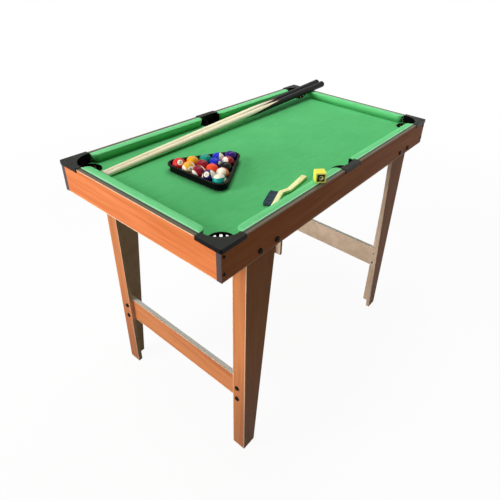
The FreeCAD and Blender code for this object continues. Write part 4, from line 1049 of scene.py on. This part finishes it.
brush_lacquer, shader, spot, _ = finish(
    "brush_lacquer", specular=0.25, Coat_Weight=0.1, Coat_Roughness=0.2)
grain = use(wood_grain, mapped(spot, Rotation=(0, 0, -BRUSH_TURN)), Light=linear(252, 250, 190),
            Dark=linear(236, 224, 150), Pores=0.2, Fineness=2.2)
surface(shader, grain, depth=0.00006)
place_piece("brush_wood", brush_wood(), "brush", "brush_wood", "brush_body", brush_lacquer)

bristle, shader, spot, _ = finish("blue_grey_bristle", specular=0.15)
strand = noise(mapped(spot, Rotation=(0, 0, -BRUSH_TURN)), (900, 60, 900), detail=2.0)
feed(shader, {"Base Color": blend(rise(strand, 0.3, 0.7), linear(34, 48, 58), linear(78, 96, 108)),
              "Roughness": strand * 0.3 + 0.35})
place_piece("brush_hair", brush_hair(), "brush", "brush_bristle", "brush_bristles", bristle)

# Chalk --------------------------------------------------------
# A 24 mm cube of pressed dark chalk in a yellow paper wrapper, standing on the front rail. Its open
# face is worn to a shallow dimple, with a ring of pale dust in it.

CHALK_CENTRE, CHALK_TURN, CHALK_HALF = (-0.1232, -0.2414, 0.7383), math.radians(47), 0.012
DUST_INNER, DUST_OUTER, DUST_RAGGED = (0.0020, 0.0031), (0.0062, 0.0050), 0.0022


def chalk_spot(spot):
    """Coordinates from the cube's middle, along its own edges."""
    return mapped(vector_calc("SUBTRACT", spot, CHALK_CENTRE), Rotation=(0, 0, -CHALK_TURN))


chalk, shader, spot, _ = finish("pressed_chalk", specular=0.1)
spot = chalk_spot(spot)
_, across, height = split(spot)
ring = calc("SQRT", across * across + height * height) + (noise(spot, 260) - 0.5) * DUST_RAGGED
powder = noise(spot, 900, detail=5.0, roughness=0.7)
dust = rise(ring, *DUST_INNER) * rise(ring, *DUST_OUTER) * rise(powder, 0.25, 0.55)
pressed = blend(powder, linear(24, 24, 22), linear(58, 56, 50))
surface(shader, depth=0.0003, Color=blend(dust, pressed, linear(226, 218, 168)),
        Roughness=powder * 0.1 + 0.88, Height=powder)
dress(chalk, "chalk_cube")

paper, shader, spot, _ = finish("yellow_paper", specular=0.15)
spot = chalk_spot(spot)
gaps = [CHALK_HALF - part for part in split(vector_calc("ABSOLUTE", spot))]
arris = least(*[calc("MAXIMUM", gaps[a], gaps[b]) for a, b in ((0, 1), (1, 2), (0, 2))])
wear_and_highlight = use(edge_wear_and_highlight, spot, Distance=arris, Width=0.0009)["Mask"]
pulp = noise(spot, 600, detail=4.0, roughness=0.65)
yellow = blend(rise(pulp, 0.3, 0.8), linear(255, 250, 96), linear(240, 226, 66))
surface(shader, depth=0.0002, Color=blend(wear_and_highlight, yellow, linear(250, 246, 170)), Roughness=pulp * 0.2 + 0.5,
        Height=noise(spot, 110, distortion=1.0) * 0.7 + pulp * 0.3)
dress(paper, "chalk_wrapper")
